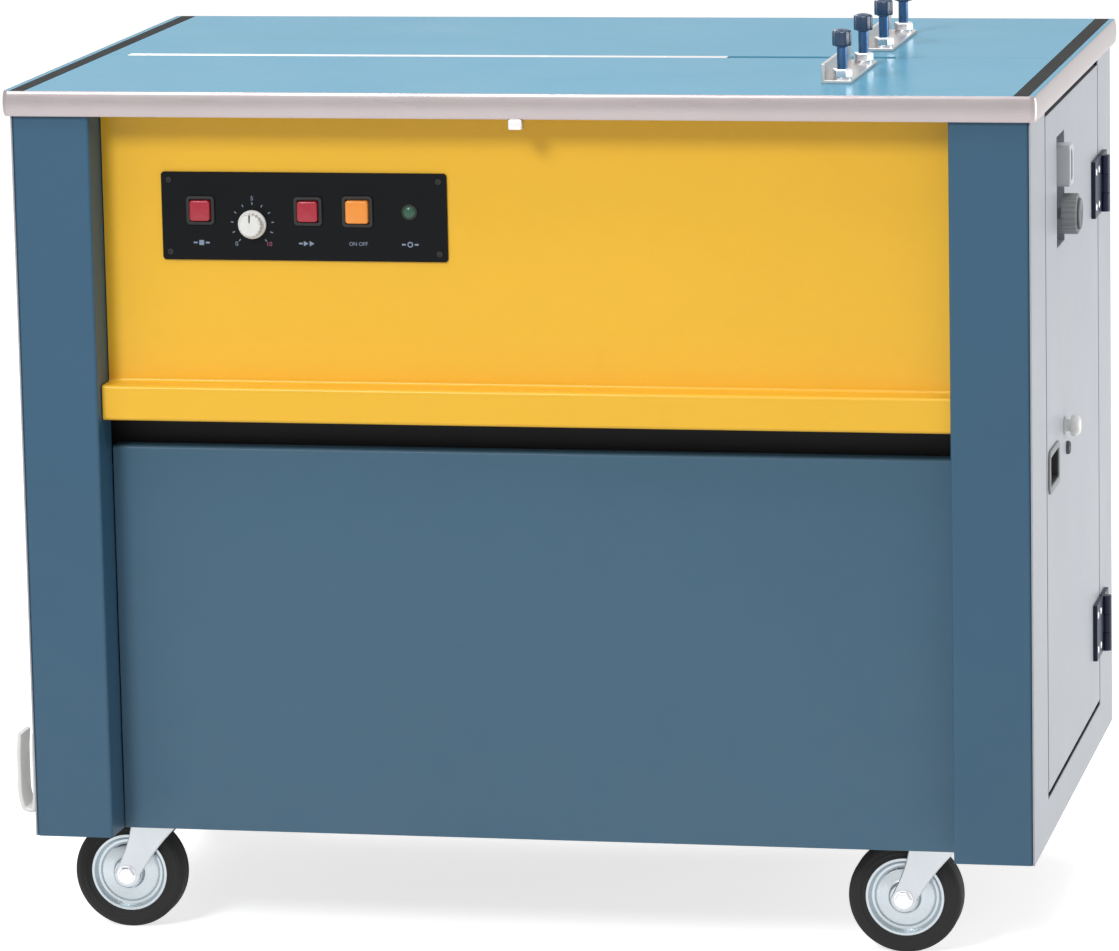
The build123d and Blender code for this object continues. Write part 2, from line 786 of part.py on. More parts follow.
def caster_fork(name: str, x: float, y: float) -> None:
    """Make one swivel fork: ball race, crown, two legs and the axle riveted through them."""
    axle_x = x - caster_trail
    with BuildPart() as fork:
        with BuildSketch(Plane.XY.offset(crown_under)):
            with Locations((x, y)):
                Circle(race_radius)
        extrude(amount=race_top - crown_under, taper=race_taper)
        with BuildSketch(Plane.XY.offset(crown_under)):
            with Locations((x, y)):
                Rectangle(fork_crown_length, 2 * (leg_inner + fork_sheet))
        extrude(amount=fork_sheet)
        with BuildSketch(Plane.XY.offset(crown_under)):
            with Locations((x, y)):
                Circle(kingpin_radius)
        extrude(amount=caster_mount_height - running_clearance - crown_under)
        for direction in (-1, 1):
            leg_y = y + direction * leg_inner
            with BuildSketch(Plane.XZ.offset(-leg_y)):
                with Locations((axle_x, wheel_radius)):
                    Circle(fork_ear_radius)
                with Locations((x, crown_under)):
                    Rectangle(fork_crown_length, 2 * fork_sheet)
                make_hull()
            extrude(amount=-direction * fork_sheet)
        with BuildSketch(Plane.XZ.offset(-y - leg_inner - fork_sheet)):
            with Locations((axle_x, wheel_radius)):
                Circle(axle_radius)
        extrude(amount=2 * (leg_inner + fork_sheet))
        for direction in (-1, 1):
            head_y = y + direction * (leg_inner + fork_sheet)
            with BuildSketch(Plane.XZ.offset(-head_y)):
                with Locations((axle_x, wheel_radius)):
                    RegularPolygon(axle_head_radius, 6)
            extrude(amount=-direction * axle_head)
    export(fork, name)


def wheel_hub(name: str, x: float, y: float) -> None:
    """Make one wheel centre: a boss, a thin web and a band that carries the tyre."""
    half = wheel_width / 2
    boss_half = half + wheel_side_gap - 1.0
    band_half = half - 3.0
    profile = [
        (axle_radius + running_clearance, -boss_half),
        (hub_boss_radius, -boss_half),
        (hub_boss_radius, -hub_web / 2),
        (hub_radius - rim_band, -hub_web / 2),
        (hub_radius - rim_band, -band_half),
        (hub_radius, -band_half),
        (hub_radius, band_half),
        (hub_radius - rim_band, band_half),
        (hub_radius - rim_band, hub_web / 2),
        (hub_boss_radius, hub_web / 2),
        (hub_boss_radius, boss_half),
        (axle_radius + running_clearance, boss_half),
    ]
    points = [(x - caster_trail + radius, y + across) for radius, across in profile]
    with BuildPart() as hub:
        with BuildSketch(Plane.XY.offset(wheel_radius)):
            with BuildLine():
                Polyline(*points, close=True)
            make_face()
        revolve(axis=Axis((x - caster_trail, y, wheel_radius), (0, 1, 0)), revolution_arc=360)
    export(hub, name)


def wheel_tyre(name: str, x: float, y: float) -> None:
    """Make one tyre, a ring with rounded shoulders on the wheel centre."""
    half = wheel_width / 2
    with BuildPart() as tyre:
        with BuildSketch(Plane.XZ.offset(-y - half)):
            with Locations((x - caster_trail, wheel_radius)):
                Circle(wheel_radius)
        extrude(amount=wheel_width)
        fillet(tyre.edges().filter_by(GeomType.CIRCLE), 6.0)
        with BuildSketch(Plane.XZ.offset(-y - half)):
            with Locations((x - caster_trail, wheel_radius)):
                Circle(hub_radius)
        extrude(amount=wheel_width, mode=Mode.SUBTRACT)
    export(tyre, name)


for corner, (corner_x, corner_y) in caster_corners.items():
    caster_fork(f"caster_fork_{corner}", corner_x, corner_y)
    wheel_hub(f"wheel_hub_{corner}", corner_x, corner_y)
    wheel_tyre(f"wheel_tyre_{corner}", corner_x, corner_y)

# Housing of the strapping head under the table, hung from the slot channel
head_bottom = plate_under - chute_depth - head_height
with BuildPart() as head_housing:
    with BuildSketch(Plane.XY.offset(head_bottom)):
        with Locations((tension_plate_x - head_side_gap - head_length / 2, slot_y)):
            Rectangle(head_length, head_depth)
    extrude(amount=head_height)
export(head_housing, "head_housing")

# Strap reel on its fixed shaft, and the bracket that carries the shaft
reel_x = body_half_x - reel_from_side
reel_radius = (head_bottom - pan_top) / 2 - reel_clearance
reel_z = pan_top + reel_clearance + reel_radius
with BuildPart() as reel_bracket_piece:
    bracket_x = reel_x - reel_width / 2 - reel_side_gap
    bracket_height = reel_z + reel_bracket_rise - pan_top
    with BuildSketch(Plane.YZ.offset(bracket_x)):
        with Locations((0, pan_top + bracket_height / 2)):
            Rectangle(reel_bracket_width, bracket_height)
    extrude(amount=-reel_bracket)
    with BuildSketch(Plane.YZ.offset(bracket_x)):
        with Locations((0, reel_z)):
            Circle(reel_shaft_radius)
    extrude(amount=reel_width + 2 * reel_side_gap)
export(reel_bracket_piece, "reel_bracket")

with BuildPart() as strap_reel:
    with BuildSketch(Plane.YZ.offset(reel_x - reel_width / 2)):
        with Locations((0, reel_z)):
            Circle(reel_radius - reel_flange_reach)
    extrude(amount=reel_width)
    for flange_x in (reel_x - reel_width / 2, reel_x + reel_width / 2 - reel_flange):
        with BuildSketch(Plane.YZ.offset(flange_x)):
            with Locations((0, reel_z)):
                Circle(reel_radius)
        extrude(amount=reel_flange)
    with BuildSketch(Plane.YZ.offset(reel_x - reel_width / 2)):
        with Locations((0, reel_z)):
            Circle(reel_shaft_radius + running_clearance)
    extrude(amount=reel_width, mode=Mode.SUBTRACT)
export(strap_reel, "strap_reel")
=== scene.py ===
"""Looks of a carton strapping machine: a wheeled cabinet under a slotted work table.

Every class holds its sizes in millimetres, and a mesh becomes metres when it is made.
+X runs along the table to the operator's right, +Y away from the operator, +Z up.
"""
import logging
import math
from dataclasses import dataclass, field
from enum import Enum
from functools import cache

import bpy
import numpy as np
from mathutils import Matrix, Vector


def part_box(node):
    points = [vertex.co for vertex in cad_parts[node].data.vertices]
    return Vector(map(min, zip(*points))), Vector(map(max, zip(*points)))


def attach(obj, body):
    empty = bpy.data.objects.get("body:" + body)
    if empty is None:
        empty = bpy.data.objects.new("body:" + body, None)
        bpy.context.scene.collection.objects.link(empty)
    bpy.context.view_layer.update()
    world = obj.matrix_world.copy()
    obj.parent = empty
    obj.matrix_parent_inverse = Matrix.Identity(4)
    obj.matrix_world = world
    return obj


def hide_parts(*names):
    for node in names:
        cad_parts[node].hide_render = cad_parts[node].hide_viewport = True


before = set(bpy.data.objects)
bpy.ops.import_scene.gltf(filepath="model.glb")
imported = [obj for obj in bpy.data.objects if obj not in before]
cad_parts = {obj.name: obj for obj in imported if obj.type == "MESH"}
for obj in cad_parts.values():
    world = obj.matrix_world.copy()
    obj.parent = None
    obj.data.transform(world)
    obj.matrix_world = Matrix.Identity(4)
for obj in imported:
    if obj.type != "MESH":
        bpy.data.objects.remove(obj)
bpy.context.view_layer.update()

log = logging.getLogger("strapping_machine")

MM = 0.001
TURN = 2 * math.pi
Point = tuple[float, float, float]
Colour = tuple[int, int, int]


class Facing(Enum):
    """Where a piece's own right, up and outward axes point in the machine."""

    UP = ((1, 0, 0), (0, 1, 0), (0, 0, 1))
    DOWN = ((1, 0, 0), (0, -1, 0), (0, 0, -1))
    FRONT = ((1, 0, 0), (0, 0, 1), (0, -1, 0))
    REAR = ((-1, 0, 0), (0, 0, 1), (0, 1, 0))
    RIGHT = ((0, 1, 0), (0, 0, 1), (1, 0, 0))
    LEFT = ((0, -1, 0), (0, 0, 1), (-1, 0, 0))


class Recess(Enum):
    """The drive cut into a screw's head."""

    CROSS = "cross"
    SOCKET = "socket"


@dataclass
class Patch:
    """A closed surface: points, four-sided faces, and flat ends given as loops of points."""

    points: np.ndarray
    quads: np.ndarray
    ends: list[np.ndarray] = field(default_factory=list)

    def outward(self) -> "Patch":
        """Turn the faces outwards: the signed volume, a sum of a . (b x c), is made positive."""
        a, b, c, d = (self.points[self.quads[:, k]] for k in range(4))
        volume = np.einsum("ij,ij->", a, np.cross(b, c) + np.cross(c, d))
        for loop in self.ends:
            p = self.points[loop]
            volume += np.einsum("j,ij->", p[0], np.cross(p[1:-1], p[2:]))
        if volume < 0:
            return Patch(self.points, self.quads[:, ::-1], [loop[::-1] for loop in self.ends])
        return self

    def placed(self, facing: Facing, at: Point = (0, 0, 0)) -> "Patch":
        """Turn the piece to a facing and move its own origin to a place.

        Args:
            facing: where the piece's own axes point.
            at: the place of the piece's own origin.

        Returns:
            The placed surface.
        """
        axes = np.array(facing.value, float)
        return Patch(self.points @ axes + np.asarray(at, float), self.quads, self.ends)

    def moved(self, offset: Point) -> "Patch":
        """Return the surface moved by an offset."""
        return Patch(self.points + np.asarray(offset, float), self.quads, self.ends)

    def repeated(self, offsets: np.ndarray) -> "Patch":
        """Join one copy of the surface at each offset.

        Args:
            offsets: one row of x, y, z for each copy.

        Returns:
            The copies as one surface.
        """
        offsets = np.asarray(offsets, float).reshape(-1, 3)
        return self._copies(self.points[None] + offsets[:, None])

    def ringed(self, count: int, start: float = 0.0) -> "Patch":
        """Join copies turned round the piece's outward axis, copy k by k / count of a turn.

        Args:
            count: the number of copies.
            start: the first copy's turn, in turns.

        Returns:
            The copies as one surface.
        """
        angles = TURN * (start + np.arange(count) / count)[:, None]
        x, y, z = self.points.T
        turned = (np.cos(angles) * x - np.sin(angles) * y, np.sin(angles) * x + np.cos(angles) * y)
        return self._copies(np.stack((*turned, np.broadcast_to(z, turned[0].shape)), axis=-1))

    def _copies(self, points: np.ndarray) -> "Patch":
        """Join copies whose points are given as one array of copies by points by axes."""
        count, size = points.shape[:2]
        steps = size * np.arange(count)
        quads = (self.quads[None] + steps[:, None, None]).reshape(-1, 4)
        ends = [loop + step for step in steps for loop in self.ends]
        return Patch(points.reshape(-1, 3), quads, ends)


def joined(*patches: Patch) -> Patch:
    """Put several surfaces into one, keeping each closed by itself."""
    steps = np.cumsum([0] + [len(patch.points) for patch in patches[:-1]])
    return Patch(
        np.vstack([patch.points for patch in patches]),
        np.vstack([patch.quads + step for patch, step in zip(patches, steps)]),
        [loop + step for patch, step in zip(patches, steps) for loop in patch.ends],
    )


def skin(rings: np.ndarray, closed: bool = False) -> Patch:
    """Make the surface through rings of points, a grid that joins up round each ring.

    Args:
        rings: an array of rings by points by axes.
        closed: True joins the last ring to the first, and otherwise flat ends close it.

    Returns:
        The closed surface, its faces outwards.
    """
    rows, columns = rings.shape[:2]
    index = np.arange(rows * columns).reshape(rows, columns)
    ends = [] if closed else [index[0, ::-1], index[-1]]
    if closed:
        index = np.vstack((index, index[:1]))
    beside = np.roll(index, -1, axis=1)
    quads = np.stack((index[:-1], beside[:-1], beside[1:], index[1:]), axis=-1).reshape(-1, 4)
    return Patch(rings.reshape(-1, 3), quads, ends).outward()


def turned(profile: np.ndarray, segments: int = 48, closed: bool = False) -> Patch:
    """Turn a profile of (radius, height) about the outward axis.

    Point (i, j) is (r_i cos a_j, r_i sin a_j, h_i), with a_j the j-th share of a full turn.

    Args:
        profile: rows of radius and height.
        segments: points round the axis.
        closed: True when the profile is a loop, as in a tyre.

    Returns:
        The turned surface.
    """
    profile = np.asarray(profile, float)
    angle = TURN * np.arange(segments) / segments
    radius, height = profile[:, :1], profile[:, 1:]
    around = (radius * np.cos(angle), radius * np.sin(angle), np.broadcast_to(height, (len(profile), segments)))
    return skin(np.stack(around, axis=-1), closed)


def prism(outline: np.ndarray, levels: np.ndarray, crown: float = 0.0) -> Patch:
    """Raise an outline through levels of (inset, height), each point moved in along its normal.

    A crown adds rings that shrink by a share s to the middle and rise by crown times 1 - s squared.

    Args:
        outline: counterclockwise points of the section.
        levels: rows of inset and height.
        crown: how far the middle of the last level stands up.

    Returns:
        The closed surface.
    """
    along = np.roll(outline, -1, axis=0) - np.roll(outline, 1, axis=0)
    normal = np.column_stack((along[:, 1], -along[:, 0])) / np.linalg.norm(along, axis=1)[:, None]
    levels = np.asarray(levels, float)
    flat = outline[None] - levels[:, :1, None] * normal[None]
    rings = np.dstack((flat, np.broadcast_to(levels[:, 1:], flat.shape[:2])))
    if crown:
        share = np.linspace(1, 0.06, 7)[1:, None]
        middle = flat[-1].mean(axis=0)
        inner = middle + share[..., None] * (flat[-1] - middle)
        rise = np.broadcast_to(levels[-1, 1] + crown * (1 - share**2), inner.shape[:2])
        rings = np.vstack((rings, np.dstack((inner, rise))))
    return skin(rings)


def swept(path: np.ndarray, section: np.ndarray, upward: Point, closed: bool = False) -> Patch:
    """Carry a section along a path: ring i is path_i + x side_i + y up_i.

    The side is the path's direction crossed with the upward axis.

    Args:
        path: points of the path.
        section: counterclockwise points of the section, as side and up.
        upward: an axis that the path never follows.
        closed: True when the path is a loop.

    Returns:
        The closed surface.
    """
    if closed:
        ahead = np.roll(path, -1, axis=0) - np.roll(path, 1, axis=0)
    else:
        ahead = np.gradient(path, axis=0)
    ahead = ahead / np.linalg.norm(ahead, axis=1)[:, None]
    side = np.cross(ahead, upward)
    side = side / np.linalg.norm(side, axis=1)[:, None]
    rise = np.cross(side, ahead)
    rings = path[:, None] + section[None, :, :1] * side[:, None] + section[None, :, 1:] * rise[:, None]
    return skin(rings, closed)


def circle(radius: float, count: int = 32) -> np.ndarray:
    """Outline of a circle."""
    angle = TURN * np.arange(count) / count
    return radius * np.column_stack((np.cos(angle), np.sin(angle)))


def hexagon(across: float, count: int = 36) -> np.ndarray:
    """Outline of a hexagon: the radius is half the flats' distance over cos of the angle off a flat."""
    angle = TURN * np.arange(count) / count
    off_flat = np.mod(angle, TURN / 6) - TURN / 12
    radius = across / 2 / np.cos(off_flat)
    return radius[:, None] * np.column_stack((np.cos(angle), np.sin(angle)))


def cross(reach: float, arm: float, count: int = 36) -> np.ndarray:
    """Outline of a cross: the radius is the arm's reach, or where the arm's edge comes nearer."""
    angle = TURN * np.arange(count) / count
    off_axis = np.minimum(np.abs(np.sin(angle)), np.abs(np.cos(angle)))
    radius = np.minimum(reach, arm / 2 / np.maximum(off_axis, 1e-6))
    return radius[:, None] * np.column_stack((np.cos(angle), np.sin(angle)))


def lobed(radius: float, depth: float, lobes: int, count: int = 120, power: float = 1.0) -> np.ndarray:
    """Outline of a grip: the radius falls by depth between lobes, as a raised cosine to a power."""
    angle = TURN * np.arange(count) / count
    dip = (0.5 - 0.5 * np.cos(lobes * angle)) ** power
    return (radius - depth * dip)[:, None] * np.column_stack((np.cos(angle), np.sin(angle)))


def rounded_rectangle(width: float, height: float, radius: float, steps: int = 5) -> np.ndarray:
    """Outline of a rectangle whose corners are quarter arcs about the four corner centres."""
    angle = (np.arange(4)[:, None] + np.linspace(0, 1, steps + 1)[None]).ravel() * TURN / 4
    signs = np.repeat(np.array([(1, 1), (-1, 1), (-1, -1), (1, -1)]), steps + 1, axis=0)
    centre = signs * (width / 2 - radius, height / 2 - radius)
    return centre + radius * np.column_stack((np.cos(angle), np.sin(angle)))


def rounded_levels(low: float, high: float, top: float, foot: float = 0.0, steps: int = 4) -> np.ndarray:
    """Levels of a prism with rounded edges: quarter arcs of inset against height.

    Args:
        low: height of the foot.
        high: height of the top.
        top: radius of the top edge.
        foot: radius of the foot's edge.
        steps: rings in each arc.

    Returns:
        Rows of inset and height.
    """
    arc = np.linspace(0, TURN / 4, steps + 1)
    upper = np.column_stack((top * (1 - np.cos(arc)), high - top + top * np.sin(arc)))
    if not foot:
        return np.vstack(((0.0, low), upper))
    lower = np.column_stack((foot * (1 - np.sin(arc)), low + foot * (1 - np.cos(arc))))
    return np.vstack((lower, upper))


def block(width: float, height: float, low: float, high: float, corner: float, edge: float) -> Patch:
    """Make a rounded rectangular block with a rounded top edge."""
    return prism(rounded_rectangle(width, height, corner), rounded_levels(low, high, edge))


def frame_ring(width: float, height: float, wall: float, low: float, high: float, corner: float) -> Patch:
    """Make a rectangular frame: its section, a small rounded bar, goes round the outline."""
    outline = rounded_rectangle(width - wall, height - wall, corner)
    path = np.column_stack((outline, np.full(len(outline), (low + high) / 2)))
    section = rounded_rectangle(wall, high - low, min(wall, high - low) * 0.3, 2)
    return swept(path, section, (0, 0, 1), closed=True)


def screw(radius: float, height: float, recess: Recess) -> Patch:
    """Make a round screw head whose rings end in the recess's outline, sunk into the head.

    Args:
        radius: radius of the head.
        height: height of the head.
        recess: the drive cut into it.

    Returns:
        The head, its seat at height zero.
    """
    drive = cross(radius * 0.62, radius * 0.26) if recess is Recess.CROSS else hexagon(radius * 0.9)
    rise = np.linspace(0, TURN / 4, 5)[:-1]
    rounds = [(radius, 0.0)] + [
        (radius * (0.72 + 0.28 * math.cos(a)), height * (0.45 + 0.5 * math.sin(a))) for a in rise
    ]
    rings = [np.column_stack((circle(r, 36), np.full(36, h))) for r, h in rounds]
    rings += [np.column_stack((drive * grow, np.full(36, height * h))) for grow, h in ((1.04, 0.97), (1, 0.9), (0.9, 0.4))]
    return skin(np.array(rings))


def nut(across: float, height: float, bore: float = 0.0) -> Patch:
    """Make a hexagon nut with its corners turned down, and a stub of thread when a bore is given."""
    body = prism(hexagon(across), [(0, 0), (0, height * 0.82), (across * 0.05, height * 0.95), (across * 0.09, height)])
    if not bore:
        return body
    return joined(body, turned([(bore, 0), (bore, height * 1.35), (bore * 0.8, height * 1.5)], 24))


def span(node: str) -> tuple[np.ndarray, np.ndarray]:
    """Return the lowest and highest corner of a CAD node, in millimetres."""
    low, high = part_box(node)
    return np.array(low) / MM, np.array(high) / MM


def middle(node: str) -> np.ndarray:
    """Return the middle of a CAD node's box, in millimetres."""
    low, high = span(node)
    return (low + high) / 2


def linear(colour: Colour) -> tuple[float, float, float, float]:
    """Turn a display colour of 0 to 255 into the linear values that shaders use."""
    share = np.array(colour, float) / 255
    value = np.where(share <= 0.04045, share / 12.92, ((share + 0.055) / 1.055) ** 2.4)
    return (*value.tolist(), 1.0)


class Tree:
    """Adds nodes to a shader tree and joins their sockets."""

    def __init__(self, nodes: bpy.types.NodeTree) -> None:
        """Keep the tree.

        Args:
            nodes: a material's or a group's node tree.
        """
        self.tree = nodes

    def add(self, kind: str, inputs: dict | None = None, **settings: object) -> bpy.types.Node:
        """Add a node, set its properties, and set or join its inputs.

        Args:
            kind: the node's type, without its common prefix.
            inputs: socket names or numbers, each with a value or the socket that feeds it.
            settings: the node's own properties.

        Returns:
            The new node.
        """
        node = self.tree.nodes.new("ShaderNode" + kind)
        for key, value in settings.items():
            setattr(node, key, value)
        for key, value in (inputs or {}).items():
            if isinstance(value, bpy.types.NodeSocket):
                self.tree.links.new(value, node.inputs[key])
            else:
                node.inputs[key].default_value = value
        return node

    def math(self, operation: str, *values: object) -> bpy.types.NodeSocket:
        """Add a Math node on numbers or sockets and return its result."""
        return self.add("Math", dict(enumerate(values)), operation=operation).outputs[0]

    def group(self, tree: bpy.types.NodeTree, inputs: dict) -> bpy.types.Node:
        """Place a node group and set or join its inputs."""
        node = self.add("Group", None, node_tree=tree)
        for key, value in inputs.items():
            if isinstance(value, bpy.types.NodeSocket):
                self.tree.links.new(value, node.inputs[key])
            else:
                node.inputs[key].default_value = value
        return node


def new_group(name: str, inputs: dict[str, str], outputs: dict[str, str]) -> tuple[Tree, dict, bpy.types.Node]:
    """Start a node group with named sockets.

    Args:
        name: the group's name.
        inputs: socket names with Float, Color or Vector.
        outputs: the same for the results.

    Returns:
        The tree, the sockets that carry the inputs, and the node that takes the results.
    """
    group = bpy.data.node_groups.new(name, "ShaderNodeTree")
    for side, sockets in (("INPUT", inputs), ("OUTPUT", outputs)):
        for socket, kind in sockets.items():
            group.interface.new_socket(socket, in_out=side, socket_type="NodeSocket" + kind)
    start = group.nodes.new("NodeGroupInput")
    end = group.nodes.new("NodeGroupOutput")
    return Tree(group), {socket: start.outputs[socket] for socket in inputs}, end


def give(tree: Tree, end: bpy.types.Node, results: dict[str, bpy.types.NodeSocket]) -> bpy.types.NodeTree:
    """Join a group's results to its outputs and return the group."""
    for name, socket in results.items():
        tree.tree.links.new(socket, end.inputs[name])
    return tree.tree


@cache
def tone_group() -> bpy.types.NodeTree:
    """Uneven tone: broad and fine noise scale a colour up and down by a given drift."""
    sockets = {"Vector": "Vector", "Colour": "Color", "Drift": "Float", "Size": "Float"}
    tree, given, end = new_group("uneven_tone", sockets, {"Colour": "Color", "Mask": "Float"})
    broad = tree.add("TexNoise", {"Vector": given["Vector"], "Scale": given["Size"], "Detail": 3.0, "Roughness": 0.5})
    finer = tree.math("MULTIPLY", given["Size"], 7.0)
    fine = tree.add("TexNoise", {"Vector": given["Vector"], "Scale": finer, "Detail": 2.0, "Roughness": 0.6})
    both = tree.math("MULTIPLY_ADD", fine.outputs["Fac"], 0.4, broad.outputs["Fac"])
    swing = tree.math("MULTIPLY", tree.math("SUBTRACT", both, 0.7), given["Drift"])
    factor = tree.math("MULTIPLY_ADD", swing, 2.0, 1.0)
    colour = tree.add("VectorMath", {0: given["Colour"], "Scale": factor}, operation="SCALE")
    return give(tree, end, {"Colour": colour.outputs[0], "Mask": broad.outputs["Fac"]})


@cache
def film_group() -> bpy.types.NodeTree:
    """Sprayed film: the height of orange peel, and a roughness that drifts in soft patches."""
    sockets = {"Vector": "Vector", "Cell Size": "Float", "Roughness": "Float", "Patches": "Float"}
    tree, given, end = new_group("sprayed_film", sockets, {"Height": "Float", "Roughness": "Float"})
    cells = tree.math("DIVIDE", 1.0, given["Cell Size"])
    peel = tree.add("TexNoise", {"Vector": given["Vector"], "Scale": cells, "Detail": 1.5, "Roughness": 0.45})
    patch = tree.add("TexNoise", {"Vector": given["Vector"], "Scale": 9.0, "Detail": 3.0})
    swing = tree.math("MULTIPLY", tree.math("SUBTRACT", patch.outputs["Fac"], 0.5), given["Patches"])
    rough = tree.add("Math", {0: given["Roughness"], 1: swing}, operation="ADD", use_clamp=True)
    return give(tree, end, {"Height": peel.outputs["Fac"], "Roughness": rough.outputs[0]})


@cache
def grain_group() -> bpy.types.NodeTree:
    """Brushed grain: noise stretched along one axis, as a height and a mask of fine lines."""
    sockets = {"Vector": "Vector", "Stretch": "Vector", "Fineness": "Float"}
    tree, given, end = new_group("brushed_grain", sockets, {"Height": "Float", "Mask": "Float"})
    pulled = tree.add("VectorMath", {0: given["Vector"], 1: given["Stretch"]}, operation="MULTIPLY")
    lines = tree.add(
        "TexNoise", {"Vector": pulled.outputs[0], "Scale": given["Fineness"], "Detail": 4.0, "Roughness": 0.7}
    )
    slow = tree.add("TexNoise", {"Vector": given["Vector"], "Scale": 14.0, "Detail": 2.0})
    mask = tree.math("MULTIPLY", lines.outputs["Fac"], tree.math("ADD", slow.outputs["Fac"], 0.5))
    return give(tree, end, {"Height": lines.outputs["Fac"], "Mask": mask})


@cache
def edge_group() -> bpy.types.NodeTree:
    """Worn edge: where the surface turns within a width, broken up by noise, as a mask."""
    tree, given, end = new_group("worn_edge", {"Vector": "Vector", "Width": "Float"}, {"Mask": "Float"})
    soft = tree.add("Bevel", {"Radius": given["Width"]}, samples=6)
    flat = tree.add("NewGeometry")
    agree = tree.add("VectorMath", {0: soft.outputs[0], 1: flat.outputs["Normal"]}, operation="DOT_PRODUCT")
    turned_away = tree.math("SUBTRACT", 1.0, agree.outputs["Value"])
    broken = tree.add("TexNoise", {"Vector": given["Vector"], "Scale": 70.0, "Detail": 4.0, "Roughness": 0.65})
    gate = tree.add("MapRange", {"Value": broken.outputs["Fac"], "From Min": 0.42, "From Max": 0.68})
    mask = tree.add("MapRange", {"Value": turned_away, "From Min": 0.03, "From Max": 0.22})
    return give(tree, end, {"Mask": tree.math("MULTIPLY", mask.outputs[0], gate.outputs[0])})


@cache
def dust_group() -> bpy.types.NodeTree:
    """Settled dust: more on what faces up and near the floor, in uneven patches, as a mask."""
    sockets = {"Vector": "Vector", "Amount": "Float", "Reach": "Float"}
    tree, given, end = new_group("settled_dust", sockets, {"Mask": "Float"})
    height = tree.add("SeparateXYZ", {0: given["Vector"]}).outputs["Z"]
    low = tree.add("MapRange", {"Value": height, "From Min": given["Reach"], "From Max": 0.0})
    up = tree.add("SeparateXYZ", {0: tree.add("NewGeometry").outputs["Normal"]}).outputs["Z"]
    lying = tree.add("MapRange", {"Value": up, "From Min": 0.3, "From Max": 1.0, "To Max": 0.5})
    patch = tree.add("TexNoise", {"Vector": given["Vector"], "Scale": 22.0, "Detail": 5.0, "Roughness": 0.65})
    both = tree.math("ADD", low.outputs[0], lying.outputs[0])
    mask = tree.math("MULTIPLY", tree.math("MULTIPLY", both, patch.outputs["Fac"]), given["Amount"])
    return give(tree, end, {"Mask": tree.add("Clamp", {"Value": mask}).outputs[0]})


@cache
def smooth_group() -> bpy.types.NodeTree:
    """Smooth shading over a mesh, with edges that turn by more than 35 degrees kept sharp."""
    group = bpy.data.node_groups.new("smooth_by_turn", "GeometryNodeTree")
    for side in ("INPUT", "OUTPUT"):
        group.interface.new_socket("Geometry", in_out=side, socket_type="NodeSocketGeometry")
    start, end = group.nodes.new("NodeGroupInput"), group.nodes.new("NodeGroupOutput")
    plain = group.nodes.new("GeometryNodeRemoveAttribute")
    plain.inputs["Name"].default_value = "custom_normal"
    faces = group.nodes.new("GeometryNodeSetShadeSmooth")
    turn = group.nodes.new("GeometryNodeInputMeshEdgeAngle")
    small = group.nodes.new("FunctionNodeCompare")
    small.operation = "LESS_THAN"
    small.inputs[1].default_value = math.radians(35)
    edges = group.nodes.new("GeometryNodeSetShadeSmooth")
    edges.domain = "EDGE"
    group.links.new(start.outputs[0], plain.inputs[0])
    group.links.new(plain.outputs[0], faces.inputs[0])
    group.links.new(faces.outputs[0], edges.inputs[0])
    group.links.new(turn.outputs["Unsigned Angle"], small.inputs[0])
    group.links.new(small.outputs[0], edges.inputs["Shade Smooth"])
    group.links.new(edges.outputs[0], end.inputs[0])
    return group


@dataclass(frozen=True)
class Finish:
    """What every finish shares: a name, a display colour, how rough it is and how it mirrors."""

    name: str
    colour: Colour
    roughness: float = 0.4
    mirror: float = 0.3

    def material(self) -> bpy.types.Material:
        """Return the finish's material, made when it is first asked for."""
        made = bpy.data.materials.get(self.name)
        if made is None:
            made = bpy.data.materials.new(self.name)
            made.use_nodes = True
            made.diffuse_color = linear(self.colour)
            tree = Tree(made.node_tree)
            shader = made.node_tree.nodes["Principled BSDF"]
            place = tree.add("TexCoord").outputs["Object"]
            shader.inputs["Specular IOR Level"].default_value = self.mirror
            self.shade(tree, shader, place)
        return made

    def shade(self, tree: Tree, shader: bpy.types.Node, place: bpy.types.NodeSocket) -> None:
        """Join the finish's nodes to the shader.

        Args:
            tree: the material's tree.
            shader: its Principled node.
            place: the object coordinates.
        """
        raise NotImplementedError

    def bump(self, tree: Tree, shader: bpy.types.Node, height: bpy.types.NodeSocket, depth: float) -> None:
        """Feed a height to the shader's normal.

        Args:
            tree: the material's tree.
            shader: its Principled node.
            height: the height to read.
            depth: the height's full depth, in millimetres.
        """
        bump = tree.add("Bump", {"Height": height, "Distance": depth * MM, "Strength": 1.0})
        tree.tree.links.new(bump.outputs[0], shader.inputs["Normal"])


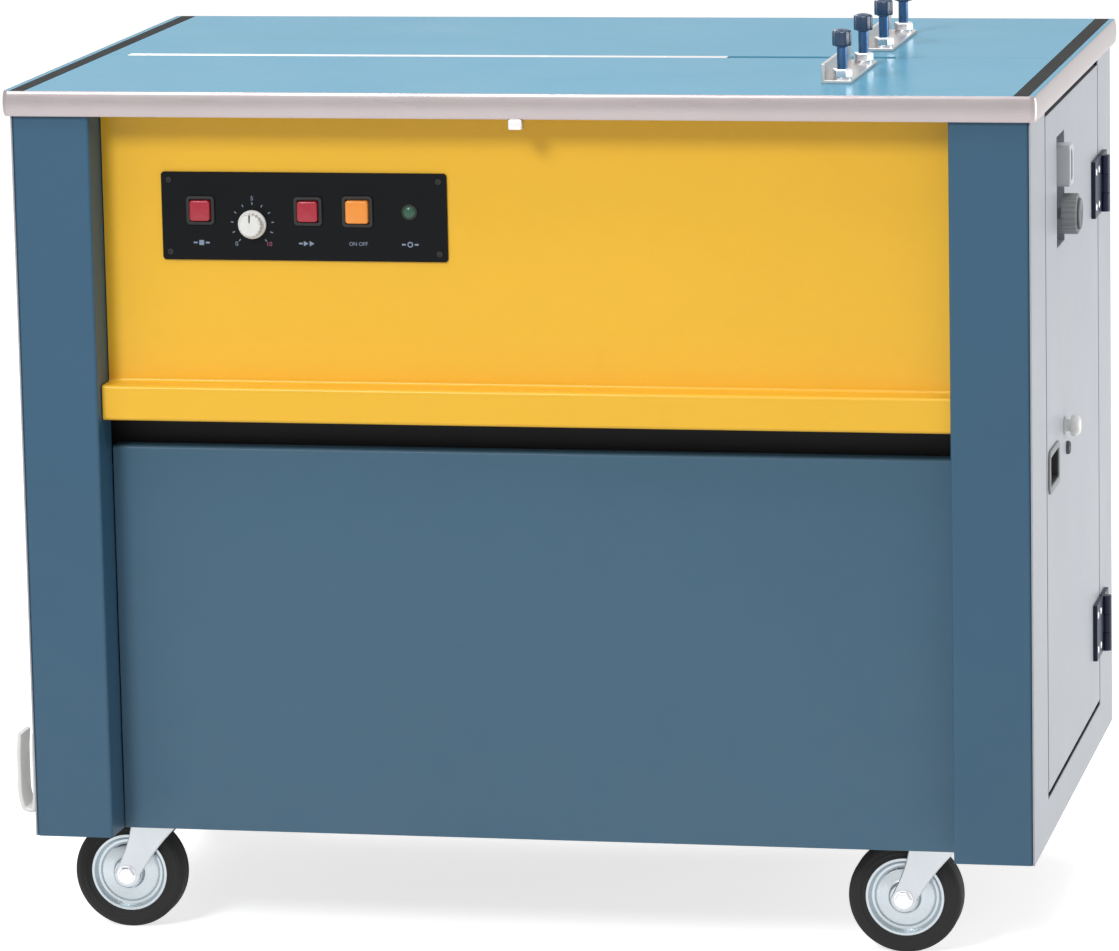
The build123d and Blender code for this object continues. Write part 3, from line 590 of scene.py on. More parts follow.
@dataclass(frozen=True)
class Enamel(Finish):
    """Sprayed enamel on steel sheet."""

    drift: float = 0.04
    size: float = 5.0
    cell: float = 2.2
    peel: float = 0.05
    coat: float = 0.25
    worn: float = 0.25
    dust: float = 0.10
    metal: Colour = (150, 155, 160)

    def shade(self, tree: Tree, shader: bpy.types.Node, place: bpy.types.NodeSocket) -> None:
        """Colour that drifts, thin dust low down, worn edges and the film's orange peel."""
        tone = tree.group(
            tone_group(), {"Vector": place, "Colour": linear(self.colour), "Drift": self.drift, "Size": self.size}
        )
        dust = tree.group(dust_group(), {"Vector": place, "Amount": self.dust, "Reach": 0.45})
        dusty = tree.add(
            "Mix",
            {"Factor": dust.outputs["Mask"], 6: tone.outputs["Colour"], 7: linear((168, 164, 156))},
            data_type="RGBA",
        )
        edge = tree.group(edge_group(), {"Vector": place, "Width": 1.2 * MM})
        worn = tree.math("MULTIPLY", edge.outputs["Mask"], self.worn)
        bare = tree.add(
            "Mix", {"Factor": worn, 6: dusty.outputs[2], 7: linear(self.metal)}, data_type="RGBA"
        )
        film = tree.group(
            film_group(),
            {"Vector": place, "Cell Size": self.cell * MM, "Roughness": self.roughness, "Patches": 0.12},
        )
        rough = tree.math("ADD", film.outputs["Roughness"], tree.math("MULTIPLY", dust.outputs["Mask"], 0.5))
        tree.tree.links.new(bare.outputs[2], shader.inputs["Base Color"])
        tree.tree.links.new(rough, shader.inputs["Roughness"])
        shader.inputs["Coat Weight"].default_value = self.coat
        shader.inputs["Coat Roughness"].default_value = 0.12
        self.bump(tree, shader, film.outputs["Height"], self.peel)


@dataclass(frozen=True)
class Metal(Finish):
    """Bare or plated metal with a brushed or rolled grain."""

    stretch: Point = (0.03, 1.0, 1.0)
    fineness: float = 900.0
    depth: float = 0.02
    drift: float = 0.05
    spread: float = 0.18

    def shade(self, tree: Tree, shader: bpy.types.Node, place: bpy.types.NodeSocket) -> None:
        """Grain lines that change roughness and height over a colour that drifts."""
        tone = tree.group(
            tone_group(), {"Vector": place, "Colour": linear(self.colour), "Drift": self.drift, "Size": 11.0}
        )
        grain = tree.group(
            grain_group(), {"Vector": place, "Stretch": self.stretch, "Fineness": self.fineness}
        )
        swing = tree.math("MULTIPLY", tree.math("SUBTRACT", grain.outputs["Mask"], 0.5), self.spread)
        rough = tree.add("Math", {0: swing, 1: self.roughness}, operation="ADD", use_clamp=True)
        tree.tree.links.new(tone.outputs["Colour"], shader.inputs["Base Color"])
        tree.tree.links.new(rough.outputs[0], shader.inputs["Roughness"])
        shader.inputs["Metallic"].default_value = 1.0
        self.bump(tree, shader, grain.outputs["Height"], self.depth)


@dataclass(frozen=True)
class Moulded(Finish):
    """Moulded plastic or rubber with a fine spark-eroded texture."""

    cell: float = 0.5
    depth: float = 0.03
    drift: float = 0.05
    dust: float = 0.05
    # Emission strength of a cap that holds no lamp: a painted glow.
    painted_glow: float = 0.0
    coat: float = 0.0

    def shade(self, tree: Tree, shader: bpy.types.Node, place: bpy.types.NodeSocket) -> None:
        """Fine texture, a little dust, and on some caps a faint painted glow: emission on a cap that holds no lamp."""
        tone = tree.group(
            tone_group(), {"Vector": place, "Colour": linear(self.colour), "Drift": self.drift, "Size": 30.0}
        )
        dust = tree.group(dust_group(), {"Vector": place, "Amount": self.dust, "Reach": 0.30})
        dusty = tree.add(
            "Mix",
            {"Factor": dust.outputs["Mask"], 6: tone.outputs["Colour"], 7: linear((150, 146, 138))},
            data_type="RGBA",
        )
        film = tree.group(
            film_group(),
            {"Vector": place, "Cell Size": self.cell * MM, "Roughness": self.roughness, "Patches": 0.10},
        )
        tree.tree.links.new(dusty.outputs[2], shader.inputs["Base Color"])
        tree.tree.links.new(film.outputs["Roughness"], shader.inputs["Roughness"])
        shader.inputs["Coat Weight"].default_value = self.coat
        # Painted glow: the cap emits its own colour though nothing lights it from inside.
        if self.painted_glow:
            tree.tree.links.new(tone.outputs["Colour"], shader.inputs["Emission Color"])
            shader.inputs["Emission Strength"].default_value = self.painted_glow
        self.bump(tree, shader, film.outputs["Height"], self.depth)


BLUE = Enamel("blue_enamel", (54, 93, 119), 0.46, drift=0.05, coat=0.08)
PANEL_BLUE = Enamel("blue_enamel_panel", (66, 101, 124), 0.50, drift=0.06, size=4.0, coat=0.05)
YELLOW = Enamel("yellow_enamel", (245, 190, 46), 0.34, drift=0.03, metal=(210, 170, 90), coat=0.2)
TABLE_BLUE = Enamel(
    "table_enamel", (104, 168, 197), 0.22, 0.006, drift=0.05, size=6.0, coat=0.0, dust=0.0, worn=0.1
)
GREY = Enamel("light_grey_enamel", (171, 175, 182), 0.46, 0.2, drift=0.05, size=7.0, dust=0.06, coat=0.05)
BLACK_ENAMEL = Enamel("black_enamel", (24, 24, 27), 0.55, 0.2, dust=0.15, coat=0.0)
DARK_GREY_ENAMEL = Enamel("dark_grey_enamel", (66, 70, 76), 0.5)
RIM_STEEL = Metal("rim_steel", (172, 163, 164), 0.30)
BRIGHT = Metal("bright_steel", (206, 205, 206), 0.34)
BRIGHT_ACROSS = Metal("bright_steel_across", (204, 200, 198), 0.36, stretch=(1.0, 0.03, 1.0))
CHROME = Metal("chrome_plate", (222, 224, 228), 0.18, stretch=(1, 1, 1), fineness=300, depth=0.004, spread=0.05)
ZINC = Metal("zinc_plate", (192, 197, 201), 0.32, stretch=(1, 1, 1), fineness=120, depth=0.02, drift=0.10)
STAMPED = Metal("stamped_plate", (190, 198, 203), 0.28, stretch=(1, 1, 1), fineness=160, depth=0.015, drift=0.08)
BLACK_PLASTIC = Moulded("black_plastic", (20, 20, 23), 0.48, 0.25)
PLATE_BLACK = Moulded("black_plate", (11, 13, 16), 0.42, 0.12, cell=0.8, depth=0.02, dust=0.0)
HINGE = Moulded("hinge_plastic", (22, 30, 54), 0.42, 0.25, cell=0.7, depth=0.04)
WHITE_PLASTIC = Moulded("white_plastic", (240, 240, 238), 0.28, cell=1.5, depth=0.01, dust=0.0, coat=0.2)
# The red and orange push caps carry a faint painted glow, as emission; no lamp sits behind them.
RED_CAP = Moulded("red_cap", (172, 34, 54), 0.22, cell=2.0, depth=0.01, dust=0.0, painted_glow=0.05, coat=0.3)
ORANGE_CAP = Moulded("orange_cap", (244, 150, 56), 0.24, cell=2.0, depth=0.01, dust=0.0, painted_glow=0.05, coat=0.3)
GREEN_LENS = Moulded("green_lens", (14, 50, 36), 0.12, cell=2.0, depth=0.01, dust=0.0, coat=0.3)
GREY_PLASTIC = Moulded("grey_plastic", (150, 152, 157), 0.45)
PALE_PLASTIC = Moulded("pale_grey_plastic", (196, 199, 204), 0.42)
DARK_GREY = Moulded("dark_grey_plastic", (84, 87, 92), 0.45)
NAVY = Moulded("navy_plastic", (20, 38, 68), 0.25, cell=1.2, depth=0.02, dust=0.0, coat=0.15)
STUD_BLUE = Metal("blue_anodised_stud", (70, 102, 138), 0.30, stretch=(1, 1, 0.05), fineness=600)
RUBBER = Moulded("tyre_rubber", (22, 22, 24), 0.62, 0.25, cell=0.7, depth=0.05, dust=0.22)
RIBBED = Moulded("strip_rubber", (15, 16, 18), 0.60, 0.1, cell=0.6, depth=0.03, dust=0.0)
INK = Moulded("pale_ink", (134, 148, 170), 0.50, dust=0.0, depth=0.0)
WHITE_INK = Moulded("white_ink", (205, 212, 220), 0.50, dust=0.0, depth=0.0)
RED_INK = Moulded("red_ink", (150, 84, 100), 0.50, dust=0.0, depth=0.0)
STRAP = Moulded("strap_plastic", (216, 190, 96), 0.33, cell=3.0, depth=0.05, dust=0.0)


@dataclass
class SubAssembly:
    """What every sub-assembly shares: it makes pieces, dresses CAD nodes and logs both."""

    body: str = "cabinet"

    def add(
        self,
        name: str,
        patch: Patch,
        finish: Finish,
        slot: str,
        body: str | None = None,
        replaces: tuple[str, ...] = (),
        smooth: float = 35.0,
    ) -> bpy.types.Object:
        """Make one piece from a surface, give it its finish and seat it on its body.

        Args:
            name: the piece's name.
            patch: its surface, in millimetres.
            finish: its finish.
            slot: the record's material slot; not used.
            body: the body it rides on, when that isn't the sub-assembly's own.
            replaces: the CAD nodes it stands for.
            smooth: edges that turn by more than this many degrees stay sharp.

        Returns:
            The new object.
        """
        mesh = bpy.data.meshes.new(name)
        faces = patch.quads.tolist() + [loop.tolist() for loop in patch.ends]
        mesh.from_pydata(patch.points * MM, [], faces)
        mesh.polygons.foreach_set("use_smooth", np.ones(len(mesh.polygons), bool))
        mesh.set_sharp_from_angle(angle=math.radians(smooth))
        mesh.materials.append(finish.material())
        mesh.update()
        piece = bpy.data.objects.new(name, mesh)
        bpy.context.scene.collection.objects.link(piece)
        return self.seat(piece, slot, body, replaces)

    def seat(
        self, piece: bpy.types.Object, slot: str, body: str | None = None, replaces: tuple[str, ...] = ()
    ) -> bpy.types.Object:
        """Put a finished object on its body and hide the nodes it stands for."""
        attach(piece, body or self.body)
        if replaces:
            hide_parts(*replaces)
        log.info("piece %s on %s, %d faces", piece.name, body or self.body, len(piece.data.polygons))
        return piece

    def dress(self, node: str, finish: Finish, edge: float = 0.5) -> None:
        """Give a CAD node its finish, and rounded edges by modifiers that leave its mesh alone.

        Args:
            node: the CAD node.
            finish: its finish.
            edge: the width of its rounded edges.
        """
        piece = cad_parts[node]
        for slot in piece.material_slots:
            slot.material = finish.material()
        weld = piece.modifiers.new("weld", "WELD")
        weld.merge_threshold = 0.01 * MM
        flats = piece.modifiers.new("whole_flats", "DECIMATE")
        flats.decimate_type = "DISSOLVE"
        flats.angle_limit = math.radians(0.5)
        smooth = piece.modifiers.new("smooth", "NODES")
        smooth.node_group = smooth_group()
        if edge:
            bevel = piece.modifiers.new("edges", "BEVEL")
            bevel.width = edge * MM
            bevel.segments = 2
            bevel.limit_method = "ANGLE"
            bevel.angle_limit = math.radians(40)
        normals = piece.modifiers.new("normals", "WEIGHTED_NORMAL")
        normals.keep_sharp = not edge
        log.info("dressed %s", node)


@dataclass
class TableTop(SubAssembly):
    """The rim, the two plates, the strap guide in the slot and the black strips at the ends."""

    rim_wall: float = 2.0
    rim_bulge: float = 1.1
    rim_edge: float = 0.6
    rim_corner: float = 6.0
    strip_width: float = 13.0
    ribs: int = 5
    rib_depth: float = 0.5
    guide_screw_radius: float = 3.2
    guide_screws: int = 5

    def build(self) -> None:
        """Dress the sheet metal and make the strips and the guide's screws."""
        for node in ("table_plate_front", "table_plate_rear"):
            self.dress(node, TABLE_BLUE, 0.4)
        self.dress("table_ledge", BRIGHT, 0)
        self.dress("slot_channel", BLACK_ENAMEL, 0.4)
        self.dress("strap_guide", BRIGHT, 0.4)
        self.rim()
        self.end_strips()
        self.screws_in_guide()

    def rim(self) -> None:
        """Make the rim: a band whose face bulges by a parabola in height, rounded at both edges."""
        low, high = span("table_rim")
        length, depth, height = high - low
        outline = rounded_rectangle(length, depth, self.rim_corner, 8)
        path = np.column_stack((outline, np.full(len(outline), low[2])))
        level = np.linspace(-1, 1, 25)
        face = -self.rim_bulge * level**2 - self.rim_edge * np.abs(level) ** 14
        outer = np.column_stack((face, height * (level + 1) / 2))
        section = np.vstack((outer, [(-self.rim_wall, height), (-self.rim_wall, 0.0)]))
        band = swept(path, section, (0, 0, 1), closed=True)
        self.add("table_rim_band", band, RIM_STEEL, "bright_steel", replaces=("table_rim",), smooth=40)

    def end_strips(self) -> None:
        """Make the strips, ribbed along their length: their top follows a cosine across the width."""
        low, high = span("edge_strips")
        width = self.strip_width
        across = np.linspace(-0.5, 0.5, 10 * self.ribs + 1)
        crest = high[2] - self.rib_depth * (0.5 + 0.5 * np.cos(TURN * self.ribs * across))
        top = np.column_stack((across * width, crest - low[2]))
        section = np.vstack((top[::-1], [(-width / 2, 0.0), (width / 2, 0.0)]))
        length = np.linspace(low[1], high[1], 3)
        path = np.column_stack((np.zeros(3), length, np.zeros(3)))
        strip = swept(path, section, (0, 0, 1))
        offset = high[0] - width / 2
        pair = strip.repeated([(-offset, 0, low[2]), (offset, 0, low[2])])
        self.add("end_strips", pair, RIBBED, "black_plastic", replaces=("edge_strips",), smooth=60)

    def screws_in_guide(self) -> None:
        """Make the flush screws that hold the strap guide, evenly spaced along it."""
        low, high = span("strap_guide")
        count = self.guide_screws
        spots = low[0] + (high[0] - low[0]) * (np.arange(count) + 0.5) / count
        head = screw(self.guide_screw_radius, 0.5, Recess.CROSS)
        places = np.column_stack((spots, np.full(count, (low[1] + high[1]) / 2), np.full(count, high[2] - 0.2)))
        self.add("guide_screws", head.repeated(places), BRIGHT, "bright_steel")


@dataclass
class Cabinet(SubAssembly):
    """Posts, panels, side sheets, pan and rails, with the screws that hold them."""

    screw_radius: float = 4.2
    screw_height: float = 2.0
    screw_inset: float = 16.0
    washer: float = 0.8

    def build(self) -> None:
        """Dress the sheet metal, then add the panel screws."""
        for corner in ("front_left", "front_right", "rear_left", "rear_right"):
            self.dress("post_" + corner, BLUE, 0.4)
        for side in ("front", "rear"):
            self.dress(f"lower_{side}_panel", PANEL_BLUE, 0.4)
            self.dress(f"upper_{side}_panel", YELLOW, 0.4)
        self.dress("left_side_panel", GREY, 0.5)
        self.dress("right_side_frame", GREY, 0.5)
        # The rails are black so that the gap under the yellow lip shows dark: painted shade in place of the shade
        # inside the cabinet.
        self.dress("cross_rails", BLACK_ENAMEL, 0.3)
        self.dress("base_pan", BLACK_ENAMEL, 0.5)
        self.panel_screws()

    def panel_screws(self) -> None:
        """Make the screws of the left panel and of the two rear panels."""
        head = joined(
            screw(self.screw_radius, self.screw_height, Recess.CROSS).moved((0, 0, self.washer)),
            turned([(self.screw_radius + 1.6, 0), (self.screw_radius + 1.6, self.washer), (1.0, self.washer)], 36),
        )
        low, high = span("left_side_panel")
        inset = self.screw_inset
        rows = np.linspace(low[2] + inset + 8, high[2] - inset - 14, 4)
        spots = [(low[0], y, z) for y in (low[1] + inset, high[1] - inset) for z in rows]
        left = head.placed(Facing.LEFT).repeated(spots)
        self.add("left_panel_screws", left, ZINC, "zinc_steel")
        for name, count in (("upper_rear_panel", 2), ("lower_rear_panel", 3)):
            low, high = span(name)
            face = high[1] if name.startswith("lower") else 248.0
            base = low[2] + inset + (45 if name.startswith("upper") else 6)
            rows = np.linspace(base, high[2] - inset - 16, count)
            spots = [(x, face, z) for x in (low[0] + inset, high[0] - inset) for z in rows]
            self.add(name + "_screws", head.placed(Facing.REAR).repeated(spots), ZINC, "zinc_steel")


@dataclass
class ControlPanel(SubAssembly):
    """Control plate with its push buttons, power switch, lamp and dial."""

    bezel: float = 3.0
    bezel_height: float = 2.4
    mark_height: float = 0.12
    label_z: float = 628.6
    screw_radius: float = 2.6
    tick_from: float = 17.0
    tick_to: float = 19.4
    dial_sweep: float = 280.0
    ticks: int = 11

    def build(self) -> None:
        """Dress the plate and make the controls and their printed marks."""
        self.dress("control_plate", PLATE_BLACK, 0.5)
        self.face = -span("control_plate")[0][1]
        self.bezels()
        self.cap("stop_button", RED_CAP, "red_plastic", "stop_push_cap")
        self.cap("feed_button", RED_CAP, "red_plastic", "feed_push_cap")
        self.cap("power_switch", ORANGE_CAP, "orange_plastic", "power_push_cap")
        self.lamp()
        self.dial()
        self.dial_marks()
        self.labels()
        self.screws()

    def on_plate(self, x: float, z: float, lift: float = 0.0) -> Point:
        """Return the place on the plate's face at x and z, lifted off it by some millimetres."""
        return (x, -(self.face + lift), z)

    def bezels(self) -> None:
        """Make the square frames round the two buttons and the switch."""
        rings = []
        for node in ("stop_button", "feed_button", "power_switch"):
            low, high = span(node)
            outer = high[0] - low[0] + 2 * self.bezel + 1.0
            ring = frame_ring(outer, outer, self.bezel, 0.0, self.bezel_height, 2.0)
            x, _, z = middle(node)
            rings.append(ring.placed(Facing.FRONT, self.on_plate(x, z)))
        self.add("button_bezels", joined(*rings), BLACK_PLASTIC, "black_plastic")

    def cap(self, node: str, finish: Finish, slot: str, body: str) -> None:
        """Make one square cap with rounded edges and a slightly crowned face.

        Args:
            node: the CAD node it stands for.
            finish: its finish.
            slot: the record's material slot; not used.
            body: the body that slides when it is pushed.
        """
        low, high = span(node)
        size = high[0] - low[0]
        depth = high[1] - low[1]
        outline = rounded_rectangle(size, size, 2.4)
        cap = prism(outline, rounded_levels(0, depth - 0.7, 1.4, steps=5), crown=0.7)
        x, _, z = middle(node)
        self.add(node + "_cap", cap.placed(Facing.FRONT, (x, high[1], z)), finish, slot, body, (node,))

    def lamp(self) -> None:
        """Make the lamp: a domed lens in a chrome ring with a turned profile."""
        low, high = span("indicator_lamp")
        x, _, z = middle("indicator_lamp")
        radius = (high[0] - low[0]) / 2
        height = high[1] - low[1]
        arc = np.linspace(0, TURN / 4 * 0.97, 9)
        dome = np.column_stack(((radius - 1.3) * np.cos(arc), 0.8 + (height - 0.8) * np.sin(arc)))
        lens = turned(np.vstack(((radius - 1.3, 0.0), dome)), 40)
        ring = turned([(radius - 1.5, 0), (radius, 0), (radius, 0.9), (radius - 0.5, 1.5), (radius - 1.5, 1.5)], 40, True)
        self.add("lamp_lens", lens.placed(Facing.FRONT, self.on_plate(x, z)), GREEN_LENS, "green_lens", replaces=("indicator_lamp",))
        self.add("lamp_ring", ring.placed(Facing.FRONT, self.on_plate(x, z)), BLACK_PLASTIC, "black_plastic")

    def dial(self) -> None:
        """Make the dial: a fluted white knob on a skirt, with a raised pointer."""
        low, high = span("dial_knob")
        x, _, z = middle("dial_knob")
        radius = (high[0] - low[0]) / 2
        height = -low[1] - self.face
        skirt = prism(circle(radius, 96), [(0, 0.5), (0, 2.2), (0.8, 3.0)])
        grip = prism(lobed(radius - 2.2, 0.8, 18, 144), rounded_levels(2.6, height - 0.5, 1.6, steps=5), crown=0.5)
        shaft = turned([(3.0, -8.0), (3.0, 0.8)], 24)
        body = joined(skirt, grip, shaft).placed(Facing.FRONT, self.on_plate(x, z))
        self.add("dial_knob_turned", body, WHITE_PLASTIC, "white_plastic", "dial", ("dial_knob",))
        pointer = block(1.6, radius * 0.8, height - 0.9, height - 0.05, 0.6, 0.3).moved((0, radius * 0.36, 0))
        self.add("dial_pointer", pointer.placed(Facing.FRONT, self.on_plate(x, z)), DARK_GREY, "grey_plastic", "dial")

    def dial_marks(self) -> None:
        """Print the ticks, evenly turned about the dial, and plain numbers at three of them."""
        x, _, z = middle("dial_knob")
        length = self.tick_to - self.tick_from
        tick = block(0.8, length, 0, self.mark_height, 0.2, 0.02).moved((0, (self.tick_from + self.tick_to) / 2, 0))
        share = np.linspace(-0.5, 0.5, self.ticks) * self.dial_sweep / 360
        copies = joined(*[tick.ringed(1, -turn) for turn in share])
        self.add("dial_ticks", copies.placed(Facing.FRONT, self.on_plate(x, z)), INK, "white_plastic")
        for text, turn in (("0", -0.5), ("5", 0.0), ("10", 0.5)):
            angle = math.radians(turn * self.dial_sweep)
            reach = self.tick_to + 3.2
            spot = (x + reach * math.sin(angle), z + reach * math.cos(angle))
            self.printed(f"dial_number_{text}", text, 4.0, spot, RED_INK if text == "10" else INK)

    def printed(self, name: str, text: str, size: float, spot: tuple[float, float], finish: Finish) -> None:
        """Print a plain number or word on the plate, made a mesh before it is put in its place.

        Args:
            name: the piece's name.
            text: what it says.
            size: the letters' height.
            spot: the middle's x and z.
            finish: its ink.
        """
        font = bpy.data.curves.new(name, "FONT")
        font.body = text
        font.size = size * MM * 1.35
        font.extrude = self.mark_height * MM / 2
        font.align_x = "CENTER"
        font.align_y = "CENTER"
        maker = bpy.data.objects.new(name + "_maker", font)
        bpy.context.scene.collection.objects.link(maker)
        shape = bpy.data.meshes.new_from_object(maker.evaluated_get(bpy.context.evaluated_depsgraph_get()))
        bpy.data.objects.remove(maker)
        axes = np.array(Facing.FRONT.value, float).T
        move = Matrix([[*row, 0] for row in axes] + [[0, 0, 0, 1]])
        move.translation = Vector(self.on_plate(spot[0], spot[1], self.mark_height / 2)) * MM
        shape.transform(move)
        shape.materials.clear()
        shape.materials.append(finish.material())
        shape.name = name
        piece = bpy.data.objects.new(name, shape)
        bpy.context.scene.collection.objects.link(piece)
        self.seat(piece, "white_plastic")

    def labels(self) -> None:
        """Print a plain symbol under each control: a square, two arrows, ON and OFF, and a ring."""
        flat = self.mark_height
        bar = block(3.6, 1.5, 0, flat, 0.4, 0.02)
        square = block(4.4, 4.4, 0, flat, 0.4, 0.02)
        arrow = prism(np.array([(-2.0, -2.3), (2.2, 0.0), (-2.0, 2.3)]), [(0, 0), (0, flat)])
        ring = frame_ring(5.0, 5.0, 1.0, 0, flat, 1.9)
        signs = {
            "stop_button": joined(square, bar.moved((-5.4, 0, 0)), bar.moved((5.4, 0, 0))),
            "feed_button": joined(arrow.moved((-2.6, 0, 0)), arrow.moved((2.6, 0, 0)), bar.moved((-7.2, 0, 0))),
            "indicator_lamp": joined(ring, bar.moved((-5.6, 0, 0)), bar.moved((5.6, 0, 0))),
        }
        marks = [sign.placed(Facing.FRONT, self.on_plate(middle(node)[0], self.label_z)) for node, sign in signs.items()]
        self.add("control_symbols", joined(*marks), INK, "white_plastic")
        self.printed("switch_words", "ON OFF", 3.4, (middle("power_switch")[0], self.label_z), INK)

    def screws(self) -> None:
        """Make the four small screws at the plate's corners."""
        low, high = span("control_plate")
        head = screw(self.screw_radius, 1.2, Recess.CROSS)
        spots = [self.on_plate(x, z) for x in (low[0] + 7, high[0] - 7) for z in (low[2] + 7, high[2] - 7)]
        self.add("control_plate_screws", head.placed(Facing.FRONT).repeated(spots), BLACK_PLASTIC, "black_plastic")


@dataclass
class SideDoor(SubAssembly):
    """The door in the right side: recessed pull, white knob, lock and hinges, and their screws."""

    body: str = "door"
    pull_bezel: float = 6.0

    def build(self) -> None:
        """Dress the door and its hinges, and make its fittings."""
        self.dress("side_door", GREY, 0.6)
        self.dress("tension_collar", GREY, 0.3)
        self.dress("hinge_door_leaves", HINGE, 0.6)
        self.dress("hinge_frame_leaves", HINGE, 0.6)
        self.pull()
        self.knob()
        self.lock()
        self.hinge_screws("hinge_door_screws", "hinge_door_leaves", "door", -1)
        self.hinge_screws("hinge_frame_screws", "hinge_frame_leaves", "cabinet", 1)

    def pull(self) -> None:
        """Make the recessed pull: a grey bezel, a dark cup with sloping walls and a ribbed paddle."""
        low, high = span("door_latch")
        _, y, z = middle("door_latch")
        width, height = high[1] - low[1], high[2] - low[2]
        face = high[0] - 2.0
        wall = self.pull_bezel
        path = rounded_rectangle(width - wall, height - wall, 5.0)
        path = np.column_stack((path, np.full(len(path), 1.0)))
        section = rounded_rectangle(wall, 2.0, 0.8, 3)
        bezel = swept(path, section, (0, 0, 1), closed=True)
        self.add("pull_bezel", bezel.placed(Facing.RIGHT, (face, y, z)), GREY_PLASTIC, "grey_plastic", replaces=("door_latch",))
        depth = face - low[0]
        inner = rounded_rectangle(width - 2 * wall, height - 2 * wall, 2.5)
        levels = np.array([(-0.6, -depth), (-0.6, 0.3), (0.6, 0.3), (1.6, 1.2 - depth)])
        cup = prism(inner, levels)
        self.add("pull_cup", cup.placed(Facing.RIGHT, (face, y, z)), BLACK_PLASTIC, "black_plastic")
        ribs = block(width - 2 * wall - 8, 1.6, 1.2 - depth, 2.6 - depth, 0.5, 0.4)
        rows = ribs.repeated([(0, offset, 0) for offset in np.linspace(-8, 8, 6)])
        self.add("pull_ribs", rows.placed(Facing.RIGHT, (face, y, z)), BLACK_PLASTIC, "black_plastic")

    def knob(self) -> None:
        """Make the white pull knob: a turned foot, waist and domed head."""
        low, high = span("door_knob")
        _, y, z = middle("door_knob")
        radius = (high[1] - low[1]) / 2
        reach = high[0] - low[0]
        arc = np.linspace(-0.6, TURN / 4 * 0.98, 12)
        head = np.column_stack(
            (radius * 0.45 + radius * 0.55 * np.cos(arc), reach - 5.4 + 5.4 * np.sin(arc))
        )
        foot = [(7.6, 0.0), (7.6, 1.2), (6.4, 2.0), (5.4, 3.4), (5.6, 5.2)]
        cap = [(radius * 0.3, reach - 0.02), (radius * 0.08, reach)]
        shape = turned(np.vstack((foot, head, cap)), 48)
        self.add("door_knob_turned", shape.placed(Facing.RIGHT, (low[0], y, z)), WHITE_PLASTIC, "white_plastic", replaces=("door_knob",))

    def lock(self) -> None:
        """Make the key lock: a dark grey collar round a chrome barrel with a sunk key slot."""
        low, high = span("door_lock")
        _, y, z = middle("door_lock")
        radius = (high[1] - low[1]) / 2
        reach = high[0] - low[0]
        collar = turned([(radius * 0.72, 0), (radius, 0), (radius, reach * 0.5), (radius * 0.86, reach * 0.8), (radius * 0.72, reach * 0.8)], 40, True)
        rings = [np.column_stack((circle(radius * 0.74, 40), np.full(40, h))) for h in (0.0, reach * 0.7)]
        slot = rounded_rectangle(1.8, radius * 0.95, 0.6, 9)
        rings += [np.column_stack((slot, np.full(40, h))) for h in (reach * 0.72, reach * 0.72 - 2.0)]
        barrel = skin(np.array(rings))
        self.add("lock_collar", collar.placed(Facing.RIGHT, (low[0], y, z)), DARK_GREY, "black_plastic", replaces=("door_lock",))
        self.add("lock_barrel", barrel.placed(Facing.RIGHT, (low[0], y, z)), CHROME, "bright_steel")

    def hinge_screws(self, name: str, node: str, body: str, side: int) -> None:
        """Make the countersunk screws in a pair of hinge leaves.

        Args:
            name: the piece's name.
            node: the CAD node of the leaves.
            body: the body that the leaves ride on.
            side: 1 where the leaves lie behind the pin, -1 where they lie in front of it.
        """
        low, high = span(node)
        pin = low[1] + 5.0 if side > 0 else high[1] - 5.0
        reach = high[1] - low[1]
        head = screw(3.4, 1.0, Recess.CROSS)
        bands = (low[2] + 26.0, high[2] - 26.0)
        rows = [(0.42, 16.0), (0.78, 16.0), (0.42, -16.0), (0.78, -16.0)]
        face = low[0] + 4.0 - 0.3
        spots = [(face, pin + side * share * reach, band + lift) for band in bands for share, lift in rows]
        self.add(name, head.placed(Facing.RIGHT).repeated(spots), CHROME, "bright_steel", body)


